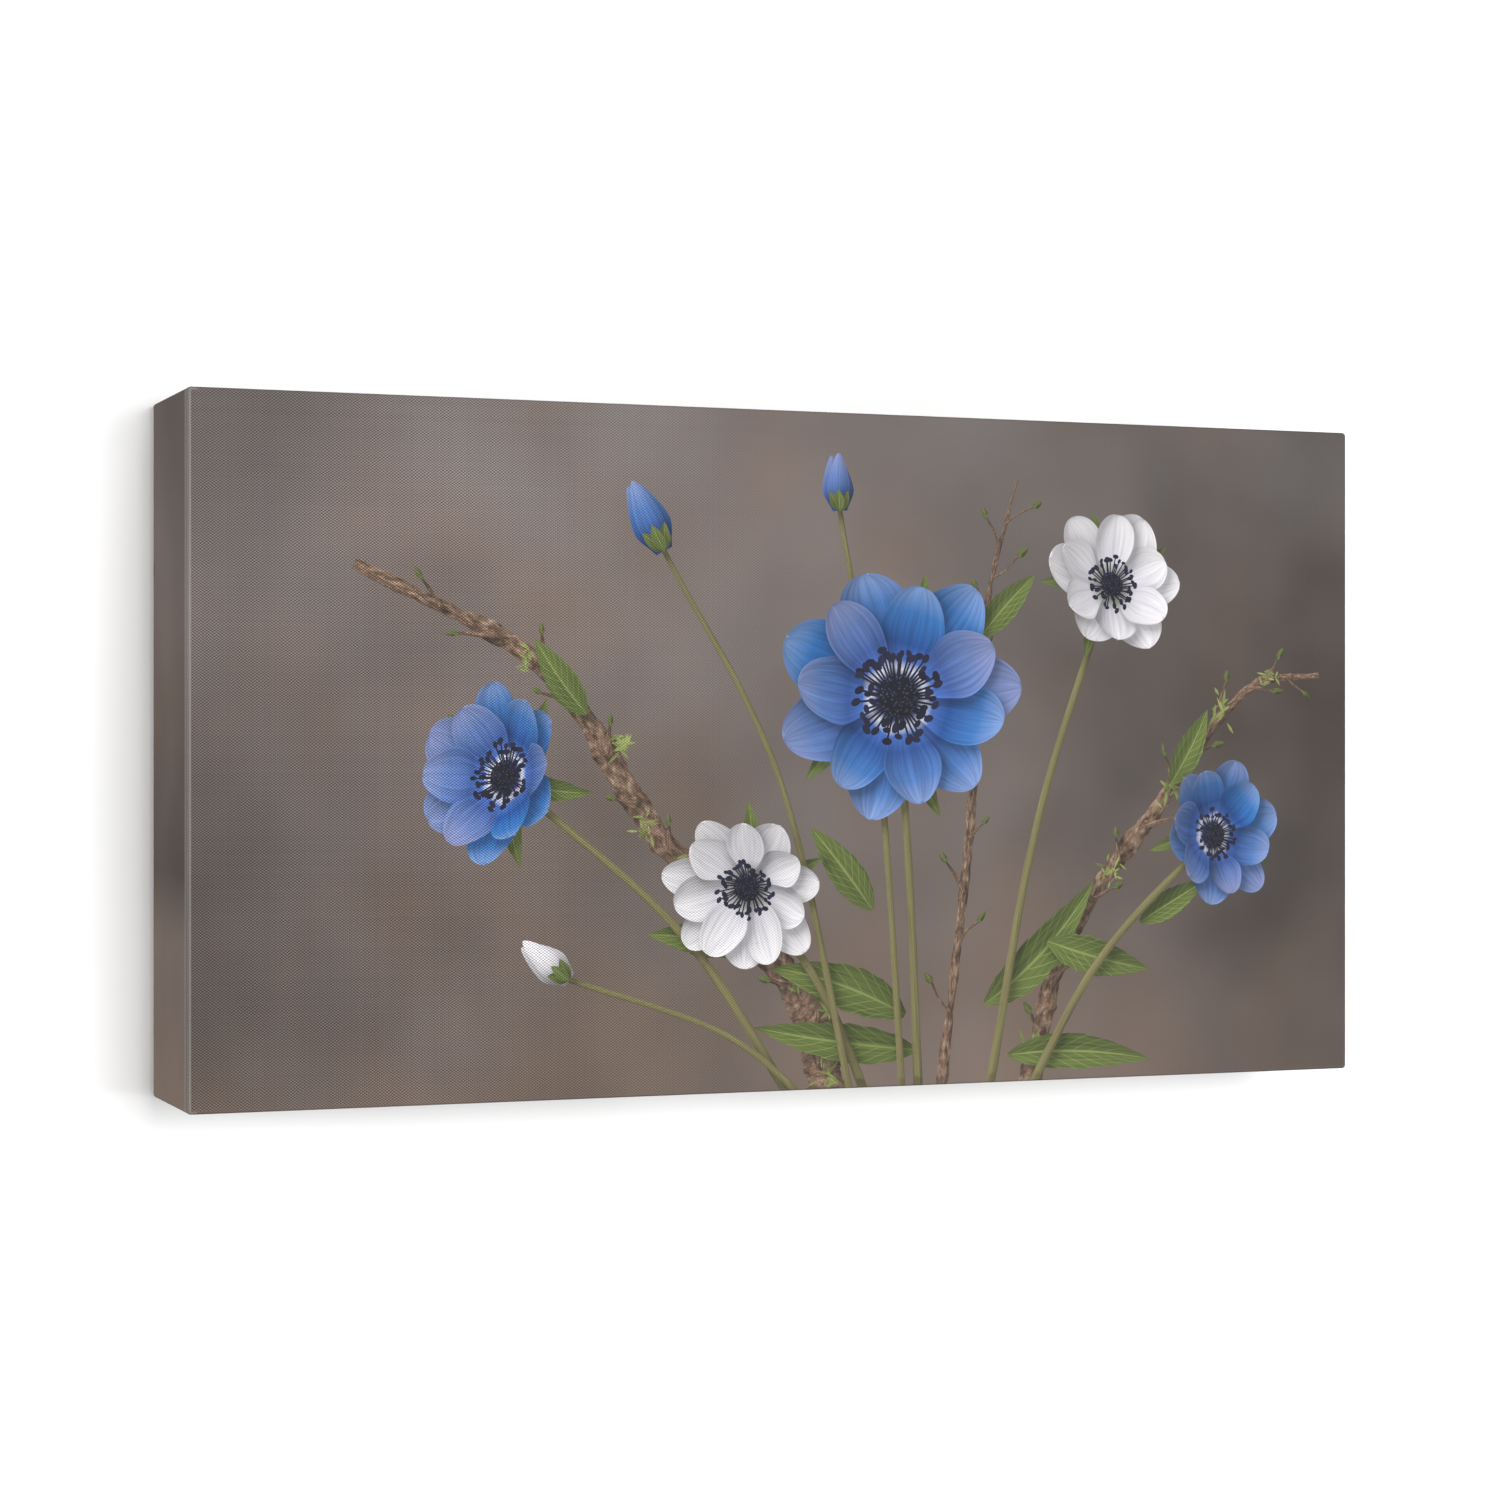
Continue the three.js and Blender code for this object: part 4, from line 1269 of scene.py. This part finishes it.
materials = {
    "ground": ink_material("print_ground", ground_colour),
    "blue petal": ink_material("print_blue_petal", blue_petal),
    "white petal": ink_material("print_white_petal", white_petal),
    "stamen": ink_material("print_stamen", plain(24, 24, 46)),
    "eye": ink_material("print_flower_middle", eye_colour),
    "stem": ink_material("print_stem", stem_colour),
    "twig": ink_material("print_twig", twig_colour),
    "leaf": ink_material("print_leaf", leaf_colour),
    "bare canvas": ink_material("bare_canvas", plain(226, 223, 216), 0.8, 1.2),
    "reverse": ink_material("canvas_reverse", plain(204, 196, 178), 0.9, 1.2),
}
for ink in INKS:
    mesh.materials.append(materials[ink])
print("inks:", len(mesh.materials))

# %% [markdown]
# Frayed threads
#
# The cut edge at the back is not hemmed, so short threads stand out of it. A line follows the
# edge, clear of the bumpers, and geometry nodes set a bent thread at even steps along it, each
# with its own turn and length from a fixed seed.

# %% Fray the cut edge
BUMPER_CLEAR = 9.0  # mm from a bumper's middle without loose threads
bumpers = [np.mean([v.co for v in nodes[name].data.vertices], axis=0) / MM
           for name in ("bumper_left", "bumper_right")]
line_points, line_ways, line_edges = [], [], []
for points, inwards in cut_edge:
    start = len(line_points)
    line_points += (points * MM).tolist()
    line_ways += [inwards.tolist()] * len(points)
    middles = (points[1:] + points[:-1]) / 2
    clear = np.min([np.linalg.norm((middles - bumper)[:, [0, 2]], axis=1) for bumper in bumpers], axis=0)
    line_edges += [(start + k, start + k + 1) for k in np.flatnonzero(clear > BUMPER_CLEAR).tolist()]
fray_mesh = bpy.data.meshes.new("frayed_threads")
fray_mesh.from_pydata(line_points, line_edges, [])
fray_mesh.attributes.new("inwards", "FLOAT_VECTOR", "POINT").data.foreach_set(
    "vector", np.array(line_ways, np.float32).ravel())
frays = add_object("frayed_threads", fray_mesh)

tree = bpy.data.node_groups.new("Fray an edge", "GeometryNodeTree")
for label, way, kind, value in (
    ("Geometry", "INPUT", "Geometry", None), ("Spacing", "INPUT", "Float", 0.0016),
    ("Length", "INPUT", "Float", 0.0022), ("Thickness", "INPUT", "Float", 0.00011),
    ("Seed", "INPUT", "Int", 5), ("Material", "INPUT", "Material", None),
    ("Geometry", "OUTPUT", "Geometry", None),
):
    socket = tree.interface.new_socket(label, in_out=way, socket_type="NodeSocket" + kind)
    if value is not None:
        socket.default_value = value
given = put(tree, "NodeGroupInput").outputs
seed = given["Seed"]
curve = put(tree, "GeometryNodeMeshToCurve", {"Mesh": given["Geometry"]}).outputs[0]
spaced = put(tree, "GeometryNodeResampleCurve", {"Curve": curve, "Length": given["Spacing"]},
             mode="LENGTH").outputs[0]
inwards = put(tree, "GeometryNodeInputNamedAttribute", {"Name": "inwards"},
              data_type="FLOAT_VECTOR").outputs[0]
facing = put(tree, "FunctionNodeAlignRotationToVector", {"Vector": inwards}, axis="X").outputs[0]


def random_vector(low, high, step):
    """A random vector for each thread, from the seed and a step of its own."""
    own = put(tree, "ShaderNodeMath", [seed, float(step)], operation="ADD").outputs[0]
    return put(tree, "FunctionNodeRandomValue", {0: low, 1: high, "Seed": own},
               data_type="FLOAT_VECTOR").outputs[0]


turn = random_vector((-3.1, -0.35, -1.1), (3.1, 0.05, 1.1), 1)
turned_more = put(tree, "FunctionNodeRotateRotation",
                  {0: facing, 1: put(tree, "FunctionNodeEulerToRotation", [turn]).outputs[0]},
                  rotation_space="LOCAL").outputs[0]
size = random_vector((0.25, 0.7, 0.7), (1.0, 1.2, 1.2), 2)
bend = put(tree, "GeometryNodeCurveQuadraticBezier",
           {"Resolution": 6, "Start": (-0.12, 0, 0), "Middle": (0.55, 0.28, 0.0), "End": (1.0, -0.1, 0.12)})
long = put(tree, "GeometryNodeTransform", {"Geometry": bend.outputs[0], "Scale": put(
    tree, "ShaderNodeCombineXYZ", [given["Length"]] * 3).outputs[0]}).outputs[0]
ring = put(tree, "GeometryNodeCurvePrimitiveCircle", {"Resolution": 5, "Radius": put(
    tree, "ShaderNodeMath", [given["Thickness"], 0.5], operation="MULTIPLY").outputs[0]}).outputs[0]
thread_tube = put(tree, "GeometryNodeCurveToMesh",
                  {"Curve": long, "Profile Curve": ring, "Fill Caps": True}).outputs[0]
placed = put(tree, "GeometryNodeInstanceOnPoints",
             {"Points": spaced, "Instance": thread_tube, "Rotation": turned_more, "Scale": size}).outputs[0]
real = put(tree, "GeometryNodeRealizeInstances", {"Geometry": placed}).outputs[0]
finished = put(tree, "GeometryNodeSetMaterial", {"Geometry": real, "Material": given["Material"]}).outputs[0]
put(tree, "NodeGroupOutput", {"Geometry": finished})

thread_material, thread_tree, shader = new_material("loose_thread")
connect(thread_tree, shader, Base_Color=shade(226, 220, 204), Roughness=0.9)
modifier = frays.modifiers.new("fray", "NODES")
modifier.node_group = tree
for item in tree.interface.items_tree:
    if item.name == "Material":
        modifier[item.identifier] = thread_material
frays.data = bpy.data.meshes.new_from_object(frays.evaluated_get(bpy.context.evaluated_depsgraph_get()))
frays.modifiers.clear()
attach(frays, "root")
print("thread triangles:", sum(len(p.vertices) - 2 for p in frays.data.polygons))

# %% [markdown]
# Wood, metal and rubber
#
# The bars are pine, sawn along the grain, and the wedges beech. Growth rings are shells round
# a far pith line, so a sawn face shows them as long wavering bands, wide in good years and
# narrow in poor ones. The same group serves both woods and every direction: it is given the
# place along, across and through the piece.

# %% Wood grain group
grain, given = new_group("Wood grain", [
    ("Along", "Float"), ("Across", "Float"), ("Through", "Float"), ("Ring", "Float"),
    ("Early", "Color"), ("Late", "Color")], [("Color", "Color"), ("Height", "Float")])
along, across, through = (maths(grain, "MULTIPLY", given[label], 1 / MM)
                          for label in ("Along", "Across", "Through"))


def stretched(length, thickness):
    """A place in the wood for a noise that is stretched along the grain."""
    return vector_of(grain, maths(grain, "MULTIPLY", along, length),
                     maths(grain, "MULTIPLY", across, thickness),
                     maths(grain, "MULTIPLY", through, thickness))


slow = noise(grain, stretched(0.009, 0.03), 1.0, 2.0)
away_a = maths(grain, "MULTIPLY_ADD", slow, 10.0, maths(grain, "ADD", across, 34.0))
away_b = maths(grain, "MULTIPLY_ADD", slow, 6.0, maths(grain, "ADD", through, 58.0))
rings = maths(grain, "DIVIDE", length_of(grain, away_a, away_b), given["Ring"])
good_years = noise(grain, vector_of(grain, rings), 0.45, 1.0)
rings = maths(grain, "MULTIPLY_ADD", good_years, 2.6, rings)
year = maths(grain, "FRACT", rings)
ripening = maths(grain, "POWER", ranged(grain, year, 0.30, 0.92), 1.8)
late = maths(grain, "MULTIPLY", ripening, ranged(grain, year, 1.0, 0.95))
fibres = noise(grain, stretched(0.08, 3.2), 1.0, 4.0, 0.6)
own_year = put(grain, "ShaderNodeTexWhiteNoise", {"W": maths(grain, "FLOOR", rings)},
               noise_dimensions="1D").outputs[0]
deep = maths(grain, "MULTIPLY", late, ranged(grain, own_year, 0.0, 1.0, 0.30, 0.72))
stripe = mixed(grain, deep, given["Early"], given["Late"])
out = lit_by(grain, stripe, ranged(grain, fibres, 0.25, 0.75, 0.86, 1.08))
put(grain, "NodeGroupOutput", [out, maths(grain, "MULTIPLY_ADD", late, 0.08, fibres)])


def wood(name, axes, ring, early, late_shade):
    """A wood whose grain runs along the first of the axes."""
    material, tree, shader = new_material(name)
    place = parts_of(tree, object_place(tree))
    along, across, through = (place["XYZ".index(axis)] for axis in axes)
    out = use(tree, grain, Along=along, Across=across, Through=through, Ring=ring, Early=early,
              Late=late_shade)
    connect(tree, shader, Base_Color=out["Color"], Normal=bumped(tree, out["Height"]), Roughness=0.62)
    return material


pine = (shade(228, 204, 166), shade(190, 146, 96))
beech = (shade(206, 168, 128), shade(176, 132, 92))
WOODS = {
    "bar_level": wood("pine_level", "XZY", 2.1, *pine),
    "bar_upright": wood("pine_upright", "ZXY", 2.1, *pine),
    "wedge_level": wood("beech_level", "XZY", 0.9, *beech),
    "wedge_upright": wood("beech_upright", "ZXY", 0.9, *beech),
}
print("woods:", list(WOODS))


# %% Metals, rubber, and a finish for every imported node
def metal(name, red, green, blue, roughness, scale):
    """A plated metal, with faint smudges and specks."""
    material, tree, shader = new_material(name)
    smudge = noise(tree, object_place(tree), scale, 4.0, 0.6)
    tint = mixed(tree, ranged(tree, smudge, 0.4, 0.75, 0.0, 0.35), shade(red, green, blue),
                 shade(red * 0.7, green * 0.68, blue * 0.66))
    connect(tree, shader, Base_Color=tint, Metallic=1.0,
            Roughness=ranged(tree, smudge, 0.3, 0.7, roughness - 0.08, roughness + 0.12))
    return material


steel = metal("galvanised_staple", 196, 198, 200, 0.25, 900.0)
brass = metal("brass_plate", 214, 182, 118, 0.30, 260.0)
rubber, tree, shader = new_material("black_rubber")
dust = noise(tree, object_place(tree), 700.0, 5.0)
connect(tree, shader, Base_Color=mixed(tree, ranged(tree, dust, 0.45, 0.75, 0.0, 0.25),
                                       shade(34, 34, 35), shade(92, 90, 88)), Roughness=0.62)


def finish_of(name):
    """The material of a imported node, by its name."""
    if name.startswith("bar"):
        return WOODS["bar_level" if name in ("bar_top", "bar_bottom") else "bar_upright"]
    if name.startswith("wedge"):
        return WOODS["wedge_level" if name.endswith("level") else "wedge_upright"]
    return steel if name.startswith("staple") else rubber if name.startswith("bumper") else brass


EDGE_WIDTH = 0.0004  # m, how far the woods' edges are sanded off

for name, obj in nodes.items():
    if name == "canvas":
        continue
    obj.data.materials.clear()
    obj.data.materials.append(finish_of(name))
    if name.startswith(("bar", "wedge")):
        weld = obj.modifiers.new("weld", "WELD")
        weld.merge_threshold = 1e-6  # m
        softened = obj.modifiers.new("softened edges", "BEVEL")
        softened.width, softened.segments, softened.limit_method = EDGE_WIDTH, 2, "ANGLE"
print("finished nodes:", len(nodes) - 1)

# %% [markdown]
# The wall
#
# The print hangs on a white wall. The wall only shows from the front, and only to the camera,
# so that it takes the print's soft shadow but keeps no light from the print's back when that is
# looked at from behind.

# %% Wall
WALL_Y = 0.0002  # m, a hair behind the bumpers
WALL_HALF = 1.5  # m, half its width and height
wall_mesh = bpy.data.meshes.new("wall")
wall_mesh.from_pydata([(-WALL_HALF, WALL_Y, -WALL_HALF), (WALL_HALF, WALL_Y, -WALL_HALF),
                       (WALL_HALF, WALL_Y, WALL_HALF), (-WALL_HALF, WALL_Y, WALL_HALF)],
                      [], [(0, 1, 2, 3)])
wall = add_object("wall", wall_mesh)
paint_white, tree, shader = new_material("white_wall")
connect(tree, shader, Base_Color=(1.0, 1.0, 1.0, 1.0), Roughness=1.0, Specular_IOR_Level=0.0)
behind = put(tree, "ShaderNodeNewGeometry").outputs["Backfacing"]
seen = put(tree, "ShaderNodeLightPath").outputs["Is Camera Ray"]
shown = maths(tree, "MULTIPLY", seen, maths(tree, "SUBTRACT", 1.0, behind))
clear = put(tree, "ShaderNodeBsdfTransparent").outputs[0]
either = put(tree, "ShaderNodeMixShader", [shown, clear, shader.outputs[0]]).outputs[0]
tree.links.new(either, tree.nodes["Material Output"].inputs["Surface"])
wall_mesh.materials.append(paint_white)
print("wall normal:", tuple(round(c, 2) for c in wall_mesh.polygons[0].normal))

# %% [markdown]
# The light
#
# A wide window lamp in front, a little above the print, throws the soft shadow to its left. A
# smaller lamp near the eye deepens the shadow close to the print, and one low at the right
# leaves only a trace of shadow below it. A pale surround and a fill at the left keep the side
# face light, one lamp above the print lights its top, and one behind it shows its back when
# that is looked at.

# %% Lights
MIDDLE = Vector((0, FRONT_Y * MM, MIDDLE_Z * MM))


def lamp(name, offset, width, height, share):
    """A lamp aimed at the print. share is the light it adds to a white surface that faces it."""
    data = bpy.data.lights.new(name, "AREA")
    data.shape, data.size, data.size_y = "RECTANGLE", width, height
    distance = Vector(offset).length
    data.energy = share * math.pi**2 * distance**2
    obj = add_object(name, data)
    obj.location = MIDDLE + Vector(offset)
    obj.rotation_euler = Vector(offset).to_track_quat("Z", "Y").to_euler()


lamp("window", (0.185, -2.1, 0.16), 0.80, 0.66, 0.52)
lamp("near the eye", (-0.10, -2.1, 0.13), 0.24, 0.50, 0.16)
lamp("low right", (1.2, -0.42, -0.22), 0.5, 0.3, 0.40)
lamp("fill", (-1.7, -0.45, -0.05), 0.9, 0.9, 0.52)
lamp("ceiling", (0.3, -0.45, 1.8), 0.9, 0.9, 0.25)
lamp("behind", (0.7, 1.9, 0.7), 0.7, 0.7, 0.55)

world = bpy.data.worlds.new("surround")
scene.world = world
world.use_nodes = True
tree = world.node_tree
background = tree.nodes["Background"]
seen = put(tree, "ShaderNodeLightPath").outputs["Is Camera Ray"]
tree.links.new(mixed(tree, seen, (0.30, 0.30, 0.30, 1.0), (0.72, 0.73, 0.74, 1.0)),
               background.inputs["Color"])
scene.view_settings.view_transform = "Standard"
